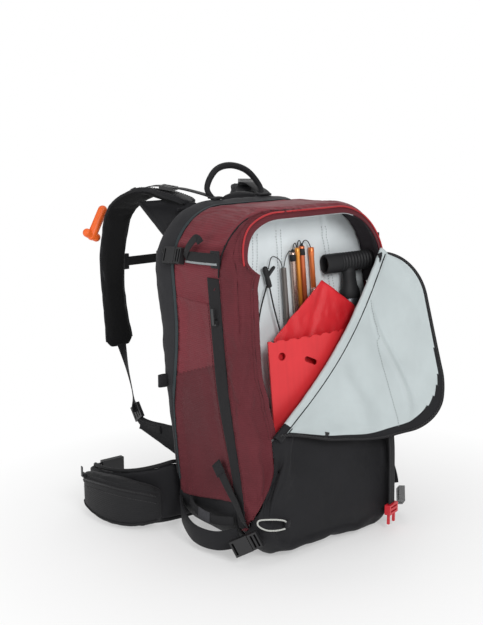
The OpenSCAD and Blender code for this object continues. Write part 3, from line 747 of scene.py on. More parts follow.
def textile(name, colour, deep=0.62, rough=0.72, pitch=0.9, rib=0.0, rib_depth=0.35, weave=0.25,
            sheen=0.25, spec=0.3, grain=0.15, edge_wear_and_highlight=0.0):
    """Woven cloth: threads both ways, an optional row of ribs, and slow changes of shade.
    Pitch and rib are in mm."""
    m, tree, bsdf = new_material(name)
    coord = node(tree, "ShaderNodeTexCoord").outputs["Object"]
    diagonal = node(tree, "ShaderNodeMapping", Rotation=(0, 0, math.radians(45)))
    tree.links.new(coord, diagonal.inputs["Vector"])
    weft = stripes(tree, coord, "Z", pitch * MM)
    warp = stripes(tree, diagonal.outputs["Vector"], "X", pitch * MM * 1.1)
    threads = scaled(tree, weft, warp)
    slow = noise_at(tree, coord, 14.0, 4.0)
    fine = noise_at(tree, coord, 900.0, 2.0)
    dark = tuple(c * deep for c in colour)
    light = tuple(min(1, c * 1.25 + 0.004) for c in colour)
    base = mix(tree, slow, dark, light)
    base = mix(tree, scaled(tree, threads, weave), base, light)
    base = mix(tree, scaled(tree, fine, grain), base, dark)
    relief = scaled(tree, threads, 0.6)
    if rib:
        ribs = maths(tree, "POWER", stripes(tree, coord, "Z", rib * MM), 2.0)
        base = mix(tree, scaled(tree, ribs, rib_depth), base, dark)
        relief = maths(tree, "ADD", relief, scaled(tree, ribs, -0.9))
    # Lighter edges: partly scuffing, partly a painted highlight.
    if edge_wear_and_highlight:
        base = worn_and_highlit_edges(tree, base, light, 0.52, 6 * edge_wear_and_highlight)
    relief = maths(tree, "ADD", relief, scaled(tree, fine, 0.5))
    roughness = maths(tree, "ADD", scaled(tree, slow, 0.16), rough - 0.08)
    surface(tree, bsdf, base, relief, 0.45, 0.0006, Roughness=roughness, Sheen_Weight=sheen,
            Sheen_Roughness=0.5, Specular_IOR_Level=spec)
    return m


def solid(name, colour, rough=0.4, metal=0.0, grain=0.1, scale=350.0, brushed=False, spec=0.5):
    """Moulded plastic or metal, with fine grain, slow shade changes and lighter edges that are partly
    scuffing and partly a painted highlight.
    """
    m, tree, bsdf = new_material(name)
    coord = node(tree, "ShaderNodeTexCoord").outputs["Object"]
    if brushed:
        stretch = node(tree, "ShaderNodeMapping", Scale=(30, 30, 1))
        tree.links.new(coord, stretch.inputs["Vector"])
        coord = stretch.outputs["Vector"]
    fine = noise_at(tree, coord, scale, 3.0)
    slow = noise_at(tree, coord, 22.0, 3.0)
    dark = tuple(c * 0.7 for c in colour)
    light = tuple(min(1, c * 1.3 + 0.01) for c in colour)
    base = mix(tree, slow, dark, light)
    base = mix(tree, scaled(tree, fine, grain), base, light)
    # Lighter edges: partly scuffing, partly a painted highlight.
    base = worn_and_highlit_edges(tree, base, light, 0.53, 4.0)
    roughness = maths(tree, "ADD", scaled(tree, fine, 0.15), rough - 0.07)
    surface(tree, bsdf, base, fine, 0.12, 0.0004, Roughness=roughness, Metallic=metal,
            Specular_IOR_Level=spec)
    return m


MAROON = textile("maroon ripstop", linear(122, 47, 56), rib=3.1, rib_depth=0.45, rough=0.62,
                 sheen=0.04, spec=0.22)
MAROON_LOW = textile("maroon ripstop lower", linear(98, 36, 44), rib=3.1, rib_depth=0.45, rough=0.66,
                     sheen=0.04, spec=0.22)
BLACK = textile("black nylon", linear(27, 27, 30), pitch=0.8, rough=0.62, spec=0.2, sheen=0.03,
                edge_wear_and_highlight=0.25)
COLLAR = textile("collar nylon", linear(40, 40, 43), pitch=1.4, rough=0.72, edge_wear_and_highlight=0.2, spec=0.22,
                 sheen=0.04)
LINING = textile("grey lining", linear(208, 214, 216), deep=0.93, weave=0.06, rough=0.55, sheen=0.05,
                 grain=0.06, pitch=0.6)
FLAP_LINING = textile("flap lining", linear(182, 191, 192), deep=0.93, weave=0.06, rough=0.5,
                      sheen=0.05, grain=0.06, pitch=0.6)
# Lining darkened as painted shade, for the shadowed right part of the pocket's side wall.
SHADED_LINING = textile("lining painted shade", linear(46, 40, 44), rough=0.7, sheen=0.03, spec=0.2)
PIPING = textile("red binding", linear(176, 40, 46), rough=0.55, pitch=1.0, sheen=0.1)
SLEEVE = textile("red sleeve cloth", linear(214, 24, 36), rough=0.36, spec=0.5, pitch=0.5, sheen=0.05)
TAPE = textile("zip tape", linear(34, 33, 35), pitch=1.1, rough=0.8, sheen=0.03, spec=0.18)
BURST = textile("burst tape", linear(50, 60, 63), pitch=1.1, rough=0.7, sheen=0.03, spec=0.2)
MESH = textile("spacer mesh", linear(17, 17, 18), pitch=2.2, rough=0.9, weave=0.5, sheen=0.05,
               spec=0.12)
WEBBING = textile("webbing", linear(28, 28, 30), pitch=1.6, rough=0.66, weave=0.4, edge_wear_and_highlight=0.3,
                  sheen=0.03, spec=0.2)
WEB_GREY = textile("grey webbing", linear(60, 60, 64), pitch=1.6, rough=0.7, weave=0.4, sheen=0.03,
                   spec=0.2)
POCKET_GREY = textile("charcoal ripstop", linear(31, 31, 33), pitch=1.2, rib=3.4, rib_depth=0.3,
                      rough=0.66, sheen=0.04, spec=0.22)
THREAD = textile("thread", linear(60, 58, 60), pitch=0.5, rough=0.6, sheen=0.05)
THREAD_RED = textile("maroon thread", linear(84, 28, 34), pitch=0.5, rough=0.6, sheen=0.05)
THREAD_PALE = textile("pale thread", linear(150, 156, 158), pitch=0.5, rough=0.6, sheen=0.05)
CORD = textile("light cord", linear(190, 191, 186), pitch=0.9, rough=0.6, weave=0.5, sheen=0.1)
CORD_DARK = textile("dark cord", linear(26, 26, 28), pitch=0.9, rough=0.6, weave=0.5, sheen=0.05)
ORANGE_CLOTH = textile("airbag cloth", linear(226, 134, 40), rough=0.5, pitch=0.7)
ACETAL = solid("black acetal", linear(22, 22, 24), rough=0.38)
COIL = solid("zip coil", linear(26, 26, 28), rough=0.35)
ACETAL_RED = solid("red acetal", linear(196, 24, 40), rough=0.35)
ORANGE = solid("orange grip", linear(242, 96, 20), rough=0.45)
BLADE = solid("blade red", linear(204, 40, 46), rough=0.42, metal=0.15, scale=500, grain=0.2)
ALLOY = solid("brushed alloy", linear(188, 190, 194), rough=0.3, metal=0.9, brushed=True)
HOUSING = solid("grey housing", linear(74, 77, 80), rough=0.5)
SHEET = solid("frame sheet", linear(222, 218, 204), rough=0.45)
PROBE_GREY = solid("grey tube", linear(104, 98, 95), rough=0.32, metal=0.6, grain=0.8, scale=260)
PROBE_SILVER = solid("silver tube", linear(196, 170, 158), rough=0.25, metal=0.8)
PROBE_ORANGE = solid("orange tube", linear(226, 124, 66), rough=0.3, metal=0.5)
GREY_ALLOY = solid("grey alloy", linear(96, 98, 102), rough=0.34, metal=0.75, brushed=True)
RUBBER = solid("ribbed rubber", linear(24, 24, 26), rough=0.6, grain=0.3, scale=700, spec=0.3)
PROBE_AMBER = solid("amber tube", linear(232, 150, 60), rough=0.3, metal=0.45)
PROBE_DEEP = solid("copper tube", linear(208, 112, 70), rough=0.3, metal=0.6)


# ---------------------------------------------------------------- shell panels
def grid_of(s0, s1, ns, nk, rows):
    s, k = np.meshgrid(np.linspace(s0, s1, ns), np.linspace(0, 1, nk), indexing="ij")
    return rows(s, k)


def outwards(grid):
    """Flips a grid so that its normals point away from the bag's middle."""
    centre = np.array([0, 30, 270.0])
    if np.sum(normals_of(grid) * (grid - centre)) < 0:
        return grid[:, ::-1]
    return grid


def panel(name, node, grid, materials, look, sim=None, face_mat=None):
    """One sewn cloth panel: relaxed by simulation, given its folds, then thickened."""
    grid = outwards(grid)
    if sim:
        grid = drape(grid, *sim)
    verts, faces, _ = thick_grid(sewn(grid, **look), CLOTH)
    which = face_mat(middles(verts, faces)) if face_mat else None
    return make(name, verts, faces, materials, "bag", [node], face_mat=which)


def middles(verts, faces):
    return np.array([np.mean(verts[list(f)], 0) for f in faces])


def boot_line(p):
    """Slants the seam between the side panels and the boot: lower towards the wearer."""
    near = np.exp(-((p[..., 2] - BOOT_TOP) / 24) ** 2)
    p[..., 2] += near * lerp(9, -17, smooth((p[..., 1] + 70) / 170)) * smooth(np.abs(p[..., 0]) / 150)
    return p


def side_grid():
    def rows(s, k):
        a, b = from_face(s, crown_front(s) + 0.004), from_back(s, collar_b(s) + 0.045)
        return boot_line(lerp(a, b, col(k)))
    return grid_of(-S_BOOT - 3, -S_STRIP + 1, 90, 46, rows)


def mirror(grid):
    return grid * np.array([-1.0, 1, 1])


SEAM_LOW_Y, SEAM_HIGH_Y = 110.0, -14.0
SEAM_LOW_Z, SEAM_HIGH_Z = 262.0, 306.0


def cross_seam_z(y):
    """Height of the slanted seam across each side panel."""
    return lerp(SEAM_LOW_Z, SEAM_HIGH_Z, (y - SEAM_LOW_Y) / (SEAM_HIGH_Y - SEAM_LOW_Y))


SHELL_LOOK = dict(puff=3.0, reach=45, pucker=0.7, wrinkle=2.4, seed=11, scale=85, ends=False)


def below_cross_seam(middle):
    return (middle[:, 2] < cross_seam_z(middle[:, 1])).astype(int)


def side_panels():
    for name, flip in (("left", False), ("right", True)):
        grid = outwards(side_grid())
        d = (grid[..., 2] - cross_seam_z(grid[..., 1])) / 3.0
        relief = -1.4 * np.exp(-(d - 0.3) ** 2) + 0.9 * np.exp(-((d + 1.5) / 1.4) ** 2)
        grid = grid + normals_of(grid) * col(relief)
        if flip:
            grid = mirror(grid)
        obj = panel(f"side_panel_{name}", f"{name}_side_panel", grid, [MAROON, MAROON_LOW],
                    SHELL_LOOK, (0.8, 0.01, 5), below_cross_seam)
        s = np.linspace(-S_BOOT + 6, -S_TAPE, 90)
        edges = [from_face(s, crown_front(s) + 0.045), from_back(s, collar_b(s) + 0.085)]
        rows = [stitched(obj, mirror(e) if flip else e) + (THREAD_RED,) for e in edges]
        trim(f"side_stitches_{name}", rows, "bag")


def crown():
    def rows(s, k):
        bend = 0.3
        front = crown_front(s) + 0.004
        turn = np.maximum(front + 0.02, 1.0)
        a = from_face(s, lerp(front, turn, np.clip(k / bend, 0, 1)))
        flat = np.clip((k - bend) / (1 - bend), 0, 1)
        b = lerp(from_face(s, turn), from_back(s, collar_b(s) + 0.045), col(flat))
        return np.where(col(k) < bend, a, b)
    grid = grid_of(-S_STRIP - 1, S_STRIP + 1, 190, 50, rows)
    panel("crown_cloth", "crown_panel", grid, [MAROON], SHELL_LOOK,
          (0.6, 0.006, 4))


def surround():
    def rows(s, k):
        opening = opening_inset(s) + facing(s)
        inner = inset_to_e(np.where(s < S_LOW, seam_inset(s) - 1, opening))
        outer = np.where(s < -S_TAPE, strip_mid(s) - 0.15, crown_front(s)) - 0.004
        p = from_face(s, lerp(inner, outer, k))
        seam = -1.3 * np.exp(-((k - 0.42) / 0.03) ** 2) * smooth((height(s) - 330) / 50)
        p[..., 1] -= seam
        return p
    grid = grid_of(-S_HEM, S_TIP, 170, 40, rows)
    look = dict(puff=2.2, reach=24, pucker=0.7, wrinkle=1.4, seed=17, scale=60)
    obj = panel("front_surround_cloth", "front_surround", grid, [MAROON_LOW], look,
                (0.5, 0.01, 4))
    s = np.linspace(-S_HEM + 8, -S_TAPE, 100)
    outer = from_face(s, strip_mid(s) - 0.2)
    s = np.linspace(S_LOW, S_TIP - 6, 120)
    inner = from_face(s, inset_to_e(opening_inset(s) + facing(s) - 5))
    rows = [stitched(obj, e) + (THREAD_RED,) for e in (outer, inner)]
    trim("surround_stitches", rows, "bag")


def panel_edge(s):
    w = np.where(s > HALF_RING, s - RING, s)
    right = np.where(w < S_STRIP, crown_front(w), np.where(w < S_HEM, strip_mid(w) - 0.15, 0.98))
    left = np.where(w < -S_HEM, 0.98, inset_to_e(seam_inset(w)))
    return np.where(w > 0, right, left)


def belly_at(z):
    return BELLY * smooth((215 - z) / 110) * smooth((z + 20) / 80)


def front_lower():
    start, end = S_HIGH + 2, RING + S_LOW - 2
    def rows(s, k):
        e = panel_edge(s)
        turn = 1 - 0.3 * np.clip(e / 0.3, 0, 1)
        at = (1 - np.clip((s - start) / (end - start), 0, 1)) ** 0.6
        top = fold_point(at, -2 - FOLD_BOW * np.sin(np.pi * at))
        flat = lerp(top, from_face(s, np.minimum(0, e)), col(np.clip(k / turn, 0, 1)))
        past = np.clip((k - turn) / np.maximum(1 - turn, 1e-6), 0, 1)
        edge = from_face(s, lerp(0, e, past))
        p = np.where(col(k > turn), edge, flat)
        p[..., 1] -= (belly_at(p[..., 2]) + 3) * np.sin(np.pi * k)
        return p
    grid = grid_of(start, end, 170, 60, rows)
    look = dict(puff=1.5, reach=30, pucker=1.0, wrinkle=4.0, seed=23, scale=95, stretch=(1, 1, 0.8))
    panel("front_lower_cloth", "front_lower_panel", grid, [BLACK], look,
          (0.5, 0.02, 6))


def crown_seam():
    """Dark corded seam between the crown and the front surround."""
    s = np.linspace(-S_TAPE + 2, S_TIP, 120)
    path = from_face(s, crown_front(s), -0.2)
    v, f = tube(path, 1.1, 8)
    make("crown_seam_cord", v, f, [BLACK], "bag")


def boot():
    def rows(s, k):
        w = np.abs(np.where(s > HALF_RING, s - RING, s))
        f0 = strip_mid(S_HEM) + 0.15
        front = np.where(w < S_HEM, strip_mid(s) + 0.15, lerp(f0, 0.985, smooth((w - S_HEM) / 30)))
        flat = lerp(from_face(s, front), from_back(s, 1.0), col(np.clip(k / 0.6, 0, 1)))
        round_ = from_back(s, lerp(1.0, 0.0, np.clip((k - 0.6) / 0.4, 0, 1)))
        return boot_line(np.where(col(k) < 0.6, flat, round_))
    grid = grid_of(S_BOOT, RING - S_BOOT, 150, 50, rows)
    grid = sewn(outwards(grid), puff=1.0, reach=30, pucker=0.8, wrinkle=1.5, seed=29, scale=70)
    grid[..., 2] = np.maximum(grid[..., 2], 0.3)
    sheet("base_boot_cloth", grid, CLOTH, BLACK, ["base_boot"])


def collar():
    def rows(s, k):
        return from_back(s, lerp(collar_b(s), 0.0, k))
    grid = grid_of(-S_BOOT, S_BOOT, 230, 34, rows)
    look = dict(puff=6.0, reach=24, pucker=1.3, wrinkle=3.2, seed=31, scale=55)
    panel("airbag_collar_cloth", "airbag_collar", grid, [COLLAR], look)


def unchanged(p):
    return p


def zip_on(name, nodes, path_at, s0, s1, body, tape, width, across, teeth_size, pitch=2.6,
           teeth_out=0.9, change=unchanged, teeth=COIL, count=120):
    """A zip: two woven tapes with a row of interlocking teeth where they meet.
    path_at(s, d) gives the point d mm to the side of the zip's middle."""
    s = np.linspace(s0, s1, count)
    d = np.linspace(-width / 2, width / 2, 9)
    grid = change(np.stack([path_at(s, np.full_like(s, v)) for v in d], 1))
    normal = normals_of(grid)
    if across < 0:
        normal = -normal
    grid = grid + normal * 0.4
    verts, faces, _ = thick_grid(grid if across > 0 else grid[:, ::-1], 1.4)
    middle = grid[:, 4] + normal[:, 4] * teeth_out
    points, tan = along(middle, pitch)
    up = unit(stretched(normal[:, 4], len(points)))
    side = unit(np.cross(up, tan))
    alternate = np.where(np.arange(len(points)) % 2, 1, -1)[:, None] * teeth_size[0] * 0.22
    tooth = boxes(points + side * alternate, side, tan, up, teeth_size)
    v, f, which = merged([(verts, faces), tooth])
    make(name, v, f, [tape, teeth], body, nodes, face_mat=which)


def side_zips():
    for name, flip in (("left", False), ("right", True)):
        def at(s, d):
            p = from_face(s, strip_mid(s) + d / 100, 0.8)
            return mirror(p) if flip else p
        nodes = [] if flip else ["side_zip_tapes"]
        zip_on(f"side_zip_{name}_tape", nodes, at, -S_HEM, -S_TAPE, "bag", TAPE, 29,
               1 if flip else -1, (5.4, 1.6, 2.2), count=160)


def pocket_zip():
    def at(s, d):
        return zip_point(s, 5 + facing(s) + d, 1.6)
    zip_on("pocket_zip_left_tape", ["pocket_zip_tape"], at, S_LOW + 1, S_HIGH - 1, "bag",
           MAROON_LOW, 9, 1, (2.2, 1.3, 1.6), pitch=2.4)
    path = zip_point(np.linspace(-down_to(468), S_HIGH, 150), 0.5, -0.9)
    v, f = tube(path, 1.5, 10)
    make("pocket_red_piping", v, f, [PIPING], "bag")


def burst_zip():
    def at(s, d):
        return from_back(s, collar_b(s) + 0.025 + d / 100)
    zip_on("burst_zip_tape", ["airbag_burst_zip"], at, -S_BOOT + 1, S_BOOT - 1, "bag", BURST, 6.5,
           1, (2.6, 1.5, 1.8), teeth=BURST, count=240)


def ruled(a, b, k):
    """A grid of straight lines from curve a to curve b."""
    return lerp(a[:, None], b[:, None], k[None, :, None])


def wall_across(inset, y0, slope, ns, nk, facing_y):
    """A flat grid across the whole bag, its normals towards facing_y along Y."""
    s = np.linspace(CROWN_X - 4, HALF_RING - FOOT_X + 4, ns)
    left, right = (on_bag(v, inset, y0, slope) for v in (-s, s))
    grid = ruled(left, right, np.linspace(0, 1, nk))
    return grid if normals_of(grid)[ns // 2, nk // 2, 1] * facing_y > 0 else grid[:, ::-1]


# The seams down the pocket's back wall: x at the height of 300 mm, and lean.
LINING_SEAMS = ((-92, 0.12), (-30, 0.05), (96, -0.1))


def lining():
    """The pocket's back wall, quilted by its seams, and the wall round it, its right part darkened with
    painted shade.
    """
    wall_y = POCKET_D - BASE_D / 2
    grid = wall_across(CLOTH + 4, wall_y, FRONT_LEAN, 90, 70, -1)
    x, z = grid[..., 0], grid[..., 2]
    push = 3.0 * smooth(np.minimum(*edge_distance(grid)) / 60)
    for seam_x, lean in LINING_SEAMS:
        push -= 1.8 * np.exp(-((x - seam_x - lean * (z - 300)) / 3.2) ** 2)
    push -= 1.8 * np.exp(-((z - 486 + 0.08 * x) / 3.2) ** 2)
    grid = grid + normals_of(grid) * col(push + 1.2 * wobble(grid, 60, 41))
    wall = sheet("pocket_back_wall", grid, CLOTH, LINING, ["pocket_divider"])
    z = np.linspace(150, 500, 90)
    rows = []
    for seam_x, lean in LINING_SEAMS:
        for side in (-3.5, 3.5):
            x = seam_x + side + lean * (z - 300)
            points = np.stack([x, wall_y + FRONT_LEAN * z - 6, z], 1)
            rows.append(stitched(wall, points, pitch=4.6) + (THREAD_PALE,))
    trim("lining_stitches", rows, "bag")

    def rows(s, k):
        rim = zip_point(s, 9, 3.0)
        deep = on_bag(s, CLOTH + 5, wall_y - 3, FRONT_LEAN)
        near_rim = on_bag(s, CLOTH + 5, 26 - BASE_D / 2, FRONT_LEAN)
        a = lerp(rim, near_rim, col(np.clip(k / 0.4, 0, 1)))
        b = lerp(near_rim, deep, col(np.clip((k - 0.4) / 0.6, 0, 1)))
        return np.where(col(k) < 0.4, a, b)
    grid = grid_of(S_LOW - 30, S_HIGH + 60, 170, 24, rows)
    grid = grid + normals_of(grid) * col(0.8 * wobble(grid, 25, 43))
    verts, faces, _ = thick_grid(grid, 1.2)
    # Faces right of x 96 get the lining with painted shade, where the side wall lies in shadow.
    dark = (middles(verts, faces)[:, 0] > 96).astype(int)
    make("pocket_side_wall", verts, faces, [LINING, SHADED_LINING], "bag", face_mat=dark)


# ---------------------------------------------------------------- flap
FLAP_ROWS, FLAP_COLS = 110, 64


def spare(i):
    """Extra cloth along the flap's lower edge, i being 0 at the fold's low end."""
    return 25 * np.exp(-((i - 0.31) / 0.15) ** 2)


def flap_shape():
    """The closed flap as a grid, from the fold at k 0 to its edge at k 1."""
    i = np.linspace(0, 1, FLAP_ROWS)
    k = np.linspace(0, 1, FLAP_COLS)
    base = fold_point(lerp(0.015, 0.985, i), 4.5 + FOLD_BOW * np.sin(np.pi * i))
    edge = zip_point(lerp(S_LOW + 5, S_HIGH - 5, i), 12.5 - spare(i)) + FOLD_OUT * col(0.3 * spare(i))
    grid = ruled(base, edge, k)
    inner = smooth((k - 0.75) / 0.25)[None, :, None]
    flat = grid - np.sum((grid - FOLD_LOW) * FOLD_OUT, -1, keepdims=True) * FOLD_OUT
    grid = lerp(flat, grid, inner)
    span = np.sin(np.pi * i)[:, None] ** 0.6
    bulge = 13 * np.sin(np.pi * k**0.85)[None, :] * span
    crease = 0
    for at, lean, depth, wide in ((0.77, -0.42, 3.4, 0.014), (0.43, -0.2, 5.0, 0.03),
                                  (0.6, -0.25, 2.5, 0.05)):
        d = (i[:, None] - at - lean * k[None, :]) / wide
        crease = crease + depth * (np.exp(-(d**2)) - 0.4 * np.exp(-((d - 2.2) ** 2)))
    crease = crease * smooth(k / 0.25)[None, :] * smooth((1 - k) / 0.25)[None, :]
    soft = 1.6 * wobble(grid, 60, 51) * smooth(k / 0.2)[None, :] * smooth((1 - k) / 0.15)[None, :]
    return grid + FOLD_OUT * col(bulge - crease + soft)


def flap():
    closed = flap_shape()
    grid = opened(closed)
    outside = opened(HINGE_AT + FOLD_OUT) - HINGE_AT
    rim_first = np.dot(normals_of(grid)[50, 30], outside) < 0
    if rim_first:
        grid = grid[:, ::-1]
    verts, faces, sides = thick_grid(grid, 2.2)
    which = []
    for f, side in zip(faces, sides):
        column = [v % FLAP_COLS for v in f]
        row = (f[0] % (FLAP_ROWS * FLAP_COLS)) // FLAP_COLS / FLAP_ROWS
        facing_wide = lerp(6, 1, smooth((row - 0.4) / 0.25))
        rim = min(column) < facing_wide if rim_first else max(column) > FLAP_COLS - 1 - facing_wide
        which.append(0 if side == 0 or rim else 1)
    obj = make("flap_cloth", verts, faces, [BLACK, FLAP_LINING], "flap", ["front_flap"],
               face_mat=which)

    def edge_at(s, d):
        extra = spare((s - S_LOW - 5) / (S_HIGH - S_LOW - 10))
        return zip_point(s, 10.6 - extra + d, 0.6) + FOLD_OUT * col(0.3 * extra)
    zip_on("flap_zip_teeth", ["flap_zip_tape"], edge_at, S_LOW + 6, S_HIGH - 6, "flap", TAPE, 5.5, 1,
           (3.0, 1.5, 1.8), change=opened, teeth_out=0.2)
    start, tip = closed[int(0.765 * FLAP_ROWS), 3], closed[int(0.35 * FLAP_ROWS), -6]
    seam = lerp(start, tip, np.linspace(0, 1, 60)[:, None])
    row = stitched(obj, opened(seam) + 6 * face_out, pitch=4.4)
    trim("flap_stitches", [row + (THREAD_PALE,)], "flap")


def fold_strip():
    """The cloth that bends at the fold, from the front panel's top edge to the flap."""
    count = 90
    i = np.linspace(0.0, 1.0, count)
    turn = np.radians(np.linspace(-90, 90, 15))
    grid = np.zeros((count, 19, 3))
    bow = FOLD_BOW * np.sin(np.pi * i)
    for j, a in enumerate(turn):
        grid[:, j + 2] = fold_point(i, 2.0 - bow + 4.2 * math.cos(a), 4 + 4.2 * math.sin(a))
    for j, across in ((1, -2.0), (0, -8.0)):
        grid[:, j] = fold_point(i, across - bow, -0.2)
        rise = 8.3 + (bow - across) * math.cos(FLAP_OPEN - math.pi / 2) - 0.4 * (j == 0)
        grid[:, 18 - j] = fold_point(i, across - bow, rise)
    pucker = 0.5 * wobble(grid, 14, 57, octaves=2)
    grid = grid + normals_of(grid) * col(pucker)
    if np.dot(normals_of(grid)[40, 9], FOLD_ACROSS) < 0:
        grid = grid[:, ::-1]
    verts, faces, sides = thick_grid(grid, 1.2)
    columns = grid.shape[1]
    sides = [1 if f[0] % (count * columns) < 7 * columns else side for f, side in zip(faces, sides)]
    obj = make("fold_strip", verts, faces, [FLAP_LINING, BLACK], None, face_mat=sides)
    bend(obj, "flap", fold_point(0.5, 0, 0.5), fold_point(0.5, 0, 7.5))


# ---------------------------------------------------------------- CAD pieces that show
def finish_cad_pieces():
    """CAD pieces whose shape is right keep it and get a finish."""
    finish = dict.fromkeys(("buckle_sockets", "anchor_buckles", "flap_slider"), ACETAL)
    paired = ("upper_plug", "lower_plug", "load_lifter", "sternum", "hip_slider", "hip_buckle",
              "side_slider")
    for side in ("left", "right"):
        finish.update({f"{name}_{side}": ACETAL for name in paired})
    finish.update(dict.fromkeys(("inflator_housing", "inflator_impeller", "power_pack"), HOUSING))
    finish.update(frame_sheet=SHEET, frame_stays=ALLOY, shovel_lock_button=ALLOY,
                  ski_strap_buckle=ACETAL_RED, trigger_handle=ORANGE, shovel_blade=BLADE)
    for name, material in finish.items():
        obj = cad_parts[name]
        for s in obj.material_slots:
            s.link = "OBJECT"
            s.material = material


# ---------------------------------------------------------------- camera and light
VIEW_TARGET, VIEW_DISTANCE, VIEW_LENS = Vector((-0.0649, 0.0528, 0.3632)), 1.866, 65.8
VIEW_AZIMUTH, VIEW_ELEVATION = math.radians(-38), math.radians(12)
# Each light's place and size in metres, and its power in watts.
LIGHTS = {
    "key": ((-0.7, -2.3, 1.7), 1.1, 42), "fill": ((-2.2, 0.2, 1.1), 1.8, 14),
    "top": ((0.5, 0.5, 2.4), 1.8, 12), "rim": ((1.9, 1.4, 1.4), 1.6, 10),
}
LIGHTS_AIM = Vector((0, 0, 0.3))
WORLD_LIGHT = 0.42
# Where the floor starts to turn plain white and where it is all white, in metres from the bag.
FLOOR_NEAR, FLOOR_FAR = 0.22, 0.62
# How white the floor is close to the bag, so that the shadows stay soft.
FLOOR_GLOW = 0.4


def aimed(name, data, place, axis):
    """An object in the scene that looks back along axis."""
    obj = linked(name, data)
    obj.location = place
    obj.rotation_mode = "QUATERNION"
    obj.rotation_quaternion = axis
    return obj


def camera_and_light():
    scene = bpy.context.scene
    flat = math.cos(VIEW_ELEVATION)
    back = Vector((math.sin(VIEW_AZIMUTH) * flat, -math.cos(VIEW_AZIMUTH) * flat,
                   math.sin(VIEW_ELEVATION)))
    data = bpy.data.cameras.new("camera")
    data.lens = VIEW_LENS
    scene.camera = aimed("camera", data, VIEW_TARGET + back * VIEW_DISTANCE,
                         (-back).to_track_quat("-Z", "Y"))
    for name, (place, size, power) in LIGHTS.items():
        light = bpy.data.lights.new(name, "AREA")
        light.size = size
        light.energy = power
        aimed(name, light, place, (Vector(place) - LIGHTS_AIM).to_track_quat("Z", "Y"))

    scene.world = bpy.data.worlds.new("studio")
    scene.world.use_nodes = True
    tree = scene.world.node_tree
    shown = tree.nodes["Background"]
    shown.inputs[0].default_value = (1, 1, 1, 1)
    shown.inputs[1].default_value = 1.0
    lit = node(tree, "ShaderNodeBackground", Strength=WORLD_LIGHT)
    seen = node(tree, "ShaderNodeLightPath").outputs["Is Camera Ray"]
    blend_into(tree, seen, lit, shown, tree.nodes["World Output"])

    mesh = bpy.data.meshes.new("floor")
    mesh.from_pydata([(-30, -30, 0), (30, -30, 0), (30, 30, 0), (-30, 30, 0)], [], [(0, 1, 2, 3)])
    floor = linked("floor", mesh)
    m, tree, bsdf = new_material("pale floor")
    bsdf.inputs["Base Color"].default_value = (0.9, 0.9, 0.9, 1)
    bsdf.inputs["Roughness"].default_value = 0.9
    bsdf.inputs["Specular IOR Level"].default_value = 0.1
    length = node(tree, "ShaderNodeVectorMath", operation="LENGTH")
    tree.links.new(node(tree, "ShaderNodeTexCoord").outputs["Object"], length.inputs[0])
    far = node(tree, "ShaderNodeMapRange")
    for key, value in (("From Min", FLOOR_NEAR), ("From Max", FLOOR_FAR), ("To Min", FLOOR_GLOW)):
        far.inputs[key].default_value = value
    tree.links.new(length.outputs["Value"], far.inputs["Value"])
    glow = node(tree, "ShaderNodeEmission", Strength=1.0)
    blend_into(tree, far.outputs[0], bsdf, glow, tree.nodes["Material Output"])
    mesh.materials.append(m)
    scene.view_settings.view_transform = "Standard"


def blend_into(tree, factor, low, high, output):
    """Shows low where factor is 0 and high where it is 1."""
    pick = node(tree, "ShaderNodeMixShader")
    for i, socket in enumerate((factor, low.outputs[0], high.outputs[0])):
        tree.links.new(socket, pick.inputs[i])
    tree.links.new(pick.outputs[0], output.inputs["Surface"])


# ---------------------------------------------------------------- webbing on the bag
def side_at(z, u, out):
    """A point on the left side, u mm behind the front and out mm off the cloth."""
    return on_bag(-down_to(z), -out, u - BASE_D / 2, FRONT_LEAN)


def upper_at(u, out):
    return on_bag(-CROWN_X - CROWN_ARC + 30, -out, u - BASE_D / 2, FRONT_LEAN)


def mirrored(part):
    verts, faces, material = part
    return mirror(np.asarray(verts)), faces, material


SIDE_CHANGES = (("left", unchanged), ("right", mirrored))
FLIPS = (("left", np.array([1.0, 1, 1])), ("right", np.array([-1.0, 1, 1])))


def compression_webbing():
    up = (0, 0, 1)
    u = np.linspace(112, 30, 16)
    upper = np.array([upper_at(v, 4.4) for v in u])
    upper[:, 0] -= 2.5 * np.sin(np.linspace(0, np.pi, 16))
    drop = np.array([0, 0, -WEB / 2 + 2.2])
    band = ribbon(upper, up, WEB, 1.8) + (WEBBING,)
    shine = ribbon(upper + [-1.0, 0, 0] + drop, up, 3.4, 0.7) + (THREAD_PALE,)
    slack = spline([upper_at(112, 6), upper_at(100, 9) + [0, 0, 14], upper_at(78, 10) + [0, 0, 30],
                    upper_at(70, 6) + [0, 0, 24]], 6)
    loose = ribbon(slack, (0, 0.5, 1), 12, 1.4) + (WEBBING,)
    tab = ribbon(np.array([upper_at(v, 4.6) for v in (24, 30, 38, 46)]), up, 27, 1.4) + (BLACK,)
    stub = ribbon(np.array([upper_at(v, 4.4) for v in (166, 172, 178)]), up, WEB, 2.4) + (WEBBING,)
    k = np.linspace(0, 1, 18)
    lower_path = from_face(-down_to(lerp(146, 58, k)), lerp(1.46, 0.72, k), -4.0)
    lower_path[:, 0] -= 2 * np.sin(np.pi * k)
    lower = ribbon(lower_path, (0, 1, 0.6), 17, 1.8) + (WEBBING,)
    patch = ribbon(lower_path[:4] + [-1.0, 0, 0], (0, 1, 0.6), 22, 1.6) + (BLACK,)
    for name, change in SIDE_CHANGES:
        fixed = [change(p) for p in (tab, stub, lower, patch)]
        trim(f"webbing_fixed_{name}", fixed, "bag",
             ["compression_webbing"] if name == "left" else [])
        moving = trim(f"webbing_upper_{name}", [change(p) for p in (band, shine, loose)], None)
        start, end = change((np.array([upper_at(v, 4) for v in (40, 108)]), None, None))[0]
        bend(moving, f"upper_plug_{name}", start, end)


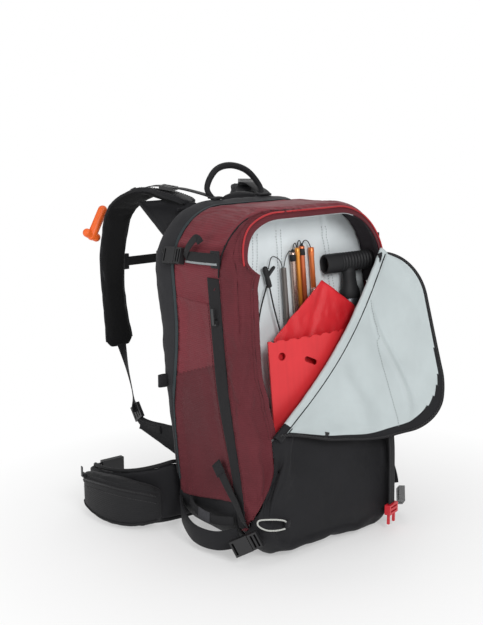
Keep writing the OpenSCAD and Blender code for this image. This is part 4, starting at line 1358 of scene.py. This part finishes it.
def ski_loops():
    path = spline([[-160, 94, 46], [-176, 66, 34], [-192, 12, 26], [-186, -38, 28],
                   [-163, -68, 38]], 8)
    wide = ribbon(path, (0, 0.15, 1), 31, 3.0, crown=1.6) + (BLACK,)
    side, out = frame_along(path, (0, 0.15, 1))
    rows = [stitch_row(path + side * v - out * 2.6, -out) + (THREAD,) for v in (-11, 11)]
    over = spline([[-167, 58, 62], [-178, 24, 58], [-178, -20, 56], [-167, -58, 62]], 6)
    second = ribbon(over, (0, 0, 1), 15, 2.0, crown=0.6) + (WEBBING,)
    tab = ribbon(over[7:12] + [-1.6, 0, 0], (0, 0, 1), 19, 1.6) + (WEB_GREY,)
    parts = [wide, second, tab] + rows
    trim("ski_loop_left", parts, "bag", ["ski_loops"])
    trim("ski_loop_right", [mirrored(p) for p in parts], "bag")


def ski_strap():
    path = spline([[128, -101, 178], [122, -113, 140], [117, -120, 90], [116, -122, 44]], 8)
    band = ribbon(path, (1, 0.3, 0), WEB, 2.0) + (WEBBING,)
    side, out = frame_along(path, (1, 0.3, 0))
    rows = [stitch_row(path + side * v + out * w, out) + (THREAD,) for v in (-7, 7) for w in (-1.2, 1.2)]
    trim("ski_strap_webbing", [band] + rows, "ski_strap", ["ski_strap"])
    hold = ribbon(np.array([[128, face_y(z) - 1.6, z] for z in (168, 176, 184, 192)]), (1, 0, 0), 27,
                  2.0) + (BLACK,)
    trim("ski_strap_patch", [hold], "bag")


def small_loops():
    out = np.array([-1.0, 0, 0])
    root = side_at(252, 196, 1)
    tab = spline([root + out, root + out * 4 + [0, 4, 0], root + out * 15 + [0, 3, 0],
                  root + out * 15 + [0, -1, 0], root + out * 4 + [0, -3, 0], root + out], 5)
    band = ribbon(tab, (0, 0, 1), 21, 2.0) + (BLACK,)
    path = spline([[-104, -112, 61], [-116, -118, 70], [-136, -117, 76], [-155, -107, 76],
                   [-157, -107, 68], [-146, -113, 60], [-130, -118, 57], [-112, -117, 55]], 7)
    cord = tube(path, 1.3, 10) + (CORD,)
    stub = ribbon(np.array([[-98, -111, 58], [-104, -113, 59], [-110, -115, 60]]), (0, 0, 1), 12,
                  4.0) + (BLACK,)
    trim("loop_tab", [band, mirrored(band)], "bag", ["web_loops"])
    trim("tool_cord_loop", [cord, stub], "bag")


def grab_handle():
    z = BAG_H - 6
    y = back_y(z)
    path = spline([[-50, y - 24, z - 3], [-58, y - 10, z + 18], [-34, y - 1, z + 46],
                   [0, y + 2, z + 53], [34, y - 1, z + 42], [56, y - 8, z + 16],
                   [50, y - 24, z - 3]], 8)
    t = np.linspace(0, np.pi, len(path))
    core = tube(path, 3.2 + 2.4 * np.sin(t) ** 0.5, 14) + (BLACK,)
    seam = stitch_row(path + np.array([0, -4.8, -1.0]), (0, -1, 0), pitch=4.4)
    trim("grab_handle_loop", [core, seam + (THREAD,)], "handle", ["grab_handle"])
    feet = [ribbon(np.array([[x, y - 34, z + 3], [x, y - 26, z + 3.4], [x, y - 17, z + 3]]),
                   (1, 0, 0), 24, 3.0) + (BLACK,) for x in (-50, 50)]
    trim("handle_feet", feet, "bag")
    rings = []
    for k in np.linspace(-1, 1, 15):
        r = math.sqrt(max(0.02, 1 - k * k))
        rings.append(oval([17 + 44 * k, y - 2, z - 6], (0, 1, 0), (0, 0, 1), 15 * r, 17 * r, 18))
    verts, faces = ring_solid(rings)
    puffed("handle_cover", None, BLACK, "bag", verts=verts, faces=faces, cap=3)


# ---------------------------------------------------------------- harness
def strap_line():
    b = back_y(400) + STRAP_REACH
    y = back_y(500)
    return spline([[-58, y + 34, 527], [-80, y + 66, 540], [-108, b - 66, 545], [-130, b - 18, 513],
                   [-STRAP_X - 3, b, 450], [-STRAP_X - 3, b + 4, 390], [-STRAP_X, b + 1, 325],
                   [-STRAP_X + 6, b - 2, 262]], 7)


def shoulder_straps():
    line = strap_line()
    side, out = frame_along(line, (-1, 0.1, 0.1))
    for name, flip in FLIPS:
        path, wide, up = line * flip, side * flip, out * flip
        body = f"shoulder_{name}"
        pad = puffed(f"shoulder_pad_{name}", f"shoulder_strap_{name}", BLACK, body,
                     voxel=4.0, cap=5.0)

        def inner(middle, normal):
            near = np.argmin(((middle[:, None] - path[None]) ** 2).sum(-1), 1)
            across = np.abs(np.sum((middle - path[near]) * wide[near], -1))
            facing_in = np.sum(normal * up[near], -1) < -0.35
            return facing_in & (across < STRAP_W / 2 - 5)
        paint(pad, MESH, inner)
        n = len(path)
        half = STRAP_W / 2 - 1.5
        taper = np.clip(np.minimum(np.arange(n), np.arange(n)[::-1]) / 5, 0, 1) * 0.25 + 0.75
        parts = []
        for e in (-1, 1):
            rim, _ = snapped(pad, path[2:-2] + wide[2:-2] * col(e * (half + 12) * taper[2:-2]))
            parts.append(tube(rim, 2.4, 10) + (WEBBING,))
        web = path[9:-1] + up[9:-1] * 14
        parts.append(laid(pad, web, 21, 1.8, 1.0) + (WEBBING,))
        for e in (-1, 1):
            parts.append(stitched(pad, web + wide[9:-1] * e * 8, 2.0) + (THREAD,))
            edge = path[2:-2] + up[2:-2] * 12 + wide[2:-2] * e * (half - 6)
            parts.append(stitched(pad, edge) + (THREAD,))
        for at in (16, 26, 36, 44):
            bar = [path[at] + up[at] * 16 + wide[at] * v for v in np.linspace(-15, 15, 7)]
            parts.append(laid(pad, np.array(bar), 11, 1.6, 2.8) + (WEB_GREY,))
        trim(f"shoulder_trim_{name}", parts, body)


def harness_webbing():
    y = back_y(520)
    lift = spline([[-52, y - 30, 540], [-58, y - 14, 545], [-66, y + 14, 550], [-76, y + 44, 554],
                   [-84, y + 66, 553]], 7)
    lift_part = ribbon(lift, (-1, -0.6, 0), WEB, 1.8) + (WEBBING,)
    tail = spline([[-84, y + 66, 556], [-92, y + 78, 557], [-102, y + 92, 556], [-110, y + 106, 551],
                   [-113, y + 112, 546]], 6)
    tail_part = ribbon(tail, (-1, -0.6, 0), WEB, 1.6) + (WEBBING,)
    k = np.linspace(0, 1, 22)[:, None]
    j = np.linspace(0, 1, 16)[None, :]
    foot_line = lerp(np.array([-66.0, 174, 528]), np.array([-138.0, 150, 470]), k[..., None])
    crest = lerp(np.array([-84.0, 222, 534]), np.array([-128.0, 262, 528]), k[..., None])
    gusset = foot_line + (crest - foot_line) * j[..., None]
    gusset[..., 2] -= 7 * np.sin(np.pi * k) * np.sin(np.pi * j)
    gusset = sewn(gusset, puff=3.0, reach=14, pucker=0.6, wrinkle=1.5, seed=67, scale=45)
    gusset_part = thick_grid(gusset, 5.0)[:2] + (BLACK,)
    foot = strap_line()[-1]
    tip = np.array([-126.0, 262, 134])
    drop = spline([foot + [0, -3, 8], foot + [1, -16, -28], foot + [1, -34, -72],
                   tip + [0, 26, 32], tip + [0, 16, 18]], 8)
    twist = np.sin(np.linspace(0, np.pi, len(drop)))[:, None]
    drop_side = lerp(np.array([-1.0, 0, 0]), np.array([-0.5, -0.86, 0]), twist)
    drop_part = ribbon(drop, drop_side, WEB, 1.8) + (WEBBING,)
    k = np.linspace(0, 1, 26)[:, None]
    j = np.linspace(0, 1, 14)[None, :]
    low, high = lerp(88, tip[2] - 9, k), lerp(154, tip[2] + 9, k)
    z = lerp(low, high, j)
    yy = lerp(lerp(back_y(low), tip[1] + 2, k), lerp(back_y(high), tip[1] + 2, k), j)
    wing = np.stack([lerp(-113, tip[0], k) + 0 * z, yy, z], -1)
    wing = sewn(wing, puff=2.2, reach=10, pucker=0.6, wrinkle=1.2, seed=61, scale=40)
    wing_part = thick_grid(wing, 5.0)[:2] + (BLACK,)
    end = ribbon(spline([[-124, 206, 138], [-125, 236, 136], tip + [1, 2, 3], tip + [0, 10, 12]], 5),
                 (0, 0, 1), WEB, 2.2) + (WEBBING,)
    for (name, change), (_, flip) in zip(SIDE_CHANGES, FLIPS):
        body = f"shoulder_{name}"
        first = name == "left"
        lifter = trim(f"load_lifter_strap_{name}", [change(lift_part)], None,
                      ["load_lifter_webbing"] if first else [])
        bend(lifter, body, lift[8] * flip, lift[-2] * flip)
        trim(f"load_lifter_tail_{name}", [change(tail_part)], body)
        web = trim(f"shoulder_gusset_{name}", [change(gusset_part)], None)
        bend(web, body, foot_line[11, 0] * flip, crest[11, 0] * flip)
        trim(f"anchor_wing_{name}", [change(wing_part), change(end)], "bag",
             ["anchor_webbing"] if first else [])
        anchor = trim(f"anchor_strap_{name}", [change(drop_part)], None)
        bend(anchor, body, drop[-6] * flip, drop[6] * flip)
    puffed("shoulder_yoke_pad", "shoulder_yoke", BLACK, "bag", cap=5)


def back_panel():
    """The padded panel against the wearer's back, with air channels pressed into it."""
    grid = wall_across(BACK_R + 1, BASE_D / 2 + 1, BACK_LEAN, 110, 80, 1)
    x, z = grid[..., 0], grid[..., 2]
    push = 5.5 * smooth(np.minimum(*edge_distance(grid)) / 22)
    for at in (-44, 44):
        push = push - 5.0 * np.exp(-((x - at) / 7.0) ** 2)
    for at in (160, 250, 340, 430):
        push = push - 3.6 * np.exp(-((z - at + 0.25 * np.abs(x)) / 6.0) ** 2)
    grid = grid + normals_of(grid) * col(push + 0.7 * wobble(grid, 30, 71))
    sheet("back_panel_pad", grid, 5.0, MESH, ["back_panel"])


# ---------------------------------------------------------------- hip belt
WING = spline([[-104, 124, 0], [-142, 125, 0], [-180, 130, 0], [-212, 149, 0], [-227, 186, 0],
               [-226, 238, 0], [-213, 284, 0]], 3)
WING_N = len(WING) - 1
POCKET_FROM, POCKET_TO = 6, 17


def wing_at(i, out, z):
    """A point beside the wing's middle line; i may lie between its steps."""
    steps = np.arange(WING_N + 1)
    p = np.array([np.interp(i, steps, WING[:, c]) for c in (0, 1)])
    d = tangents(WING)
    d = unit(np.array([np.interp(i, steps, d[:, c]) for c in (0, 1)]))
    return np.array([p[0] - d[1] * out, p[1] + d[0] * out, z])


def wing_low(i):
    return 4 + 12 * (i / WING_N) ** 3


def wing_high(i):
    k = i / WING_N
    return 98 + 14 * float(smooth(4 * k)) - 40 * k**1.6


def pocket_full(i):
    t = lerp(0.03, 0.97, (i - POCKET_FROM) / (POCKET_TO - POCKET_FROM))
    return math.sqrt(max(0.0, math.sin(math.pi * t)))


def hip_belt():
    rings = []
    for i in np.linspace(0, WING_N, 2 * WING_N + 1):
        a, b, low, high = 6.5, -6.5, wing_low(i), wing_high(i)
        rings.append([wing_at(i, o, z) for o, z in (
            (a - 3, low), (a, low + 5), (a, high - 5), (a - 3, high),
            (b + 3, high), (b, high - 5), (b, low + 5), (b + 3, low))])
    wing_verts, wing_faces = ring_solid(rings)
    tip = WING[-1]
    end = spline([[tip[0] - 3, tip[1] - 26, 42], [tip[0] + 1, tip[1] + 1.5, 40],
                  [tip[0] + 7, tip[1] + 20, 39], [tip[0] + 22, tip[1] + 34, 38],
                  [tip[0] + 40, tip[1] + 38, 38]], 7)
    steps = np.linspace(0.5, WING_N - 0.5, 48)
    for name, flip in FLIPS:
        sign = flip[0]
        body = f"hip_{name}"
        pad = puffed(f"hip_pad_{name}", f"hip_wing_{name}", BLACK, body, voxel=4.2,
                     cap=5.0, verts=wing_verts * flip, faces=wing_faces)

        def inner(middle, normal):
            return (normal[:, 0] * sign > 0.25) & (middle[:, 1] > 140) & (middle[:, 2] > 18)
        paint(pad, MESH, inner)
        pocket = puffed(f"hip_pocket_cloth_{name}", f"hip_pocket_{name}", POCKET_GREY, body,
                        voxel=3.6, pressure=5.0)
        parts = []
        for edge in (wing_low, wing_high):
            inset = 1.5 if edge is wing_low else -1.5
            rim = np.array([wing_at(i, 0, edge(i) + inset) for i in steps])
            parts.append(tube(rim * flip, 3.4, 10) + (WEBBING,))
        parts.append(ribbon(end * flip, (0, 0, 1), 36, 2.6) + (WEBBING,))
        for h in (-12, 0, 12):
            parts.append(stitch_row((end + [-1.6, 0.3, h]) * flip, (-sign, 0, 0)) + (THREAD,))
        line = np.linspace(POCKET_FROM + 0.7, POCKET_TO - 0.8, 40)
        depth = [12 + 20 * pocket_full(i) for i in line]
        top = [62 + 36 * pocket_full(i) - 10 * i / WING_N for i in line]
        zip_path = np.array([wing_at(i, 7.5 + d + 6, t - 17) for i, d, t in zip(line, depth, top)])
        tape, teeth = zip_line(pocket, zip_path * flip)
        parts += [tape + (TAPE,), teeth + (COIL,)]

        def row(drop):
            return np.array([wing_at(i, 7.5 + d + 4, t - drop) for i, d, t in zip(line, depth, top)])

        def piped(points):
            place, _ = snapped(pocket, points * flip, 0.4)
            return tube(place, 1.6, 8) + (WEBBING,)
        foot = np.array([wing_at(i, 7.5 + d, 24 - 12 * pocket_full(i)) for i, d in zip(line, depth)])
        parts += [piped(row(5)), stitched(pocket, row(30) * flip) + (THREAD,), piped(foot)]
        trim(f"hip_trim_{name}", parts, body)
    puffed("lumbar_cushion", "lumbar_pad", MESH, "bag", cap=5)


# ---------------------------------------------------------------- tools
SHAFT_AT, PROBE_AT = (112, 438, 43), 51.5


def shovel_handle():
    origin, x, into, up = on_face(*SHAFT_AT)
    turn = math.radians(-4)
    gx = x * math.cos(turn) + into * math.sin(turn)
    gy = -x * math.sin(turn) + into * math.cos(turn)
    rings = []
    for a in np.linspace(48, -50, 190):
        ribbed = float(smooth((a + 22) / 6) * smooth((44 - a) / 4))
        r = 1 - 0.1 * ribbed * (0.5 + 0.5 * math.cos(2 * math.pi * a / 6.4))
        r *= 1 - 0.12 * float(smooth((a - 42) / 6))
        rings.append(oval(origin + gx * a, up, gy, 16.3 * r, 12.4 * r, 32))
    for a, r in ((-50.6, 0.97), (-51, 0.9), (-50.6, 0.83), (-48, 0.8), (-24, 0.76), (-22, 0.6)):
        rings.append(oval(origin + gx * a, up, gy, 16.3 * r, 12.4 * r - 0.3, 32))
    grip = ring_solid(rings) + (RUBBER,)
    neck = [(11.5, 9.5, -8), (12.6, 9.8, -18), (12.8, 10, -30), (14, 11.2, -40), (17.6, 13.2, -47),
            (18.3, 13.8, -52), (18.3, 13.8, -60), (17.4, 13, -62)]
    collar_part = ring_solid([oval(origin + up * h, x, into, a, b, 32) for a, b, h in neck])
    tube_part = [(17.6, 13.1, -60.5), (18, 13.5, -62), (18, 13.5, -225)]
    shaft = ring_solid([oval(origin + up * h, x, into, a, b, 32) for a, b, h in tube_part])
    trim("shovel_grip", [grip, collar_part + (RUBBER,), shaft + (GREY_ALLOY,)], "shovel_shaft",
         ["shovel_handle"])


def probes():
    """Folded probe: tubes standing side by side, joined by their cord."""
    axes = on_face(0, 86, PROBE_AT)[1:]
    up = axes[2]
    kinds = ((-22, 356, 4.2, PROBE_GREY, "knurl"), (-1, 380, 4.3, PROBE_SILVER, "cone"),
             (9.4, 386, 3.6, PROBE_AMBER, "plain"), (19, 388, 4.4, PROBE_DEEP, "cone"),
             (39, 384, 4.4, PROBE_ORANGE, "plain"))
    parts, tops = [], []
    for at, tall, r, material, kind in kinds:
        origin = on_face(at, 86, PROBE_AT)[0]
        if kind == "knurl":
            profile = [(r + 0.35 * (i % 2), h) for i, h in enumerate(np.arange(0, tall, 1.5))]
            profile += [(r, tall), (r - 1.2, tall + 0.8)]
        else:
            profile = [(r, 0), (r, tall - 14), (r + 0.5, tall - 13.5), (r + 0.5, tall - 1),
                       (r - 0.6, tall)]
        parts.append(turned(origin, axes, profile) + (material,))
        if kind == "cone":
            cap = [(r + 0.8, tall - 15), (r + 0.8, tall - 5), (r - 0.4, tall - 1), (1.6, tall + 4),
                   (1.0, tall + 4.6)]
            parts.append(turned(origin, axes, cap) + (RUBBER,))
        if kind == "plain" and at > 30:
            ring = [(r + 0.7, tall - 74), (r + 0.7, tall - 66)]
            parts.append(turned(origin, axes, ring) + (PROBE_SILVER,))
        foot = [(r + 0.8, 0), (r + 0.8, 22), (r + 0.1, 23)]
        parts.append(turned(origin, axes, foot) + (RUBBER,))
        tops.append(origin + up * (tall + 1))
    for a, b in zip(tops[:-1], tops[1:]):
        arc = spline([a - up * 2, lerp(a, b, 0.3) + up * 8, lerp(a, b, 0.7) + up * 8, b - up * 2], 6)
        parts.append(tube(arc, 0.8, 6) + (CORD_DARK,))
    trim("probe_tubes", parts, "probe", ["probe_sections"])

    origin, x, into, up = on_face(-59, 430, 49)
    lean = math.radians(-12)
    axis = up * math.cos(lean) + x * math.sin(lean)
    across = np.cross(into, axis)
    grip = turned(origin, (across, into, axis), [
        (2.2, -18), (4.2, -17), (4.6, -10), (3.8, 0), (4.7, 8), (4.3, 15), (2.0, 17)])
    arm_axis = up * math.cos(math.radians(48)) + x * math.sin(math.radians(48))
    arm = turned(origin, (np.cross(into, arm_axis), into, arm_axis),
                 [(3.0, 0), (3.0, 19), (2.2, 21.5)])
    lines = [grip + (RUBBER,), arm + (RUBBER,)]
    for points in (((-2, 0, -15), (-20, -2, -52), (-34, -4, -98)),
                   ((3, 0, -14), (8, -2, -50), (18, -2, -92)),
                   ((4, 0, 12), (14, 2, 30), (30, 3, 24), (36, 3, 8))):
        path = spline([origin + x * a + into * b + up * c for a, b, c in points], 8)
        lines.append(tube(path, 1.3 if points[0][2] < 0 else 0.8, 8) + (CORD_DARK,))
    trim("probe_cord_and_grip", lines, "probe", ["probe_cord"])


def tool_sleeve():
    origin, x, into, up = on_face(0, 84, 27.0)
    k = np.linspace(0, 1, 70)[:, None]
    j = np.linspace(0, 1, 56)[None, :]
    top_x = np.interp(j, (0, 0.56, 0.98, 1), (-72, 38, 105, 104))
    top_z = np.interp(j, (0, 0.56, 0.98, 1), (254, 336, 286, 268))
    px = lerp(lerp(-76, 98, j), top_x, k)
    pz = lerp(0 * j, top_z, k)
    grid = origin + col(px) * x + col(pz) * up
    fold = 4.0 * np.exp(-((px - 0.5 * (pz - 250) - 2) / 9) ** 2) - 3 * np.exp(-((px + 30) / 12) ** 2)
    crumple = 2.4 * wobble(grid, 38, 83) + 1.2 * wobble(grid, 16, 87)
    grid = grid + into * col(np.abs(fold + crumple) * smooth((pz - 225) / 50) * (px < 84))
    sheet("tool_sleeve_cloth", grid, 1.2, SLEEVE, ["tool_sleeve"])


def airbag():
    puffed("stowed_airbag_folds", "stowed_airbag", ORANGE_CLOTH, "bag", cap=3)


BUILDERS = (
    side_panels, crown, surround, crown_seam, front_lower, boot, collar, side_zips, pocket_zip,
    burst_zip, lining, flap, fold_strip, compression_webbing, ski_loops, ski_strap, small_loops,
    grab_handle, shoulder_straps, harness_webbing, back_panel, hip_belt, shovel_handle, probes,
    tool_sleeve, airbag, finish_cad_pieces, camera_and_light,
)
for build in BUILDERS:
    build()
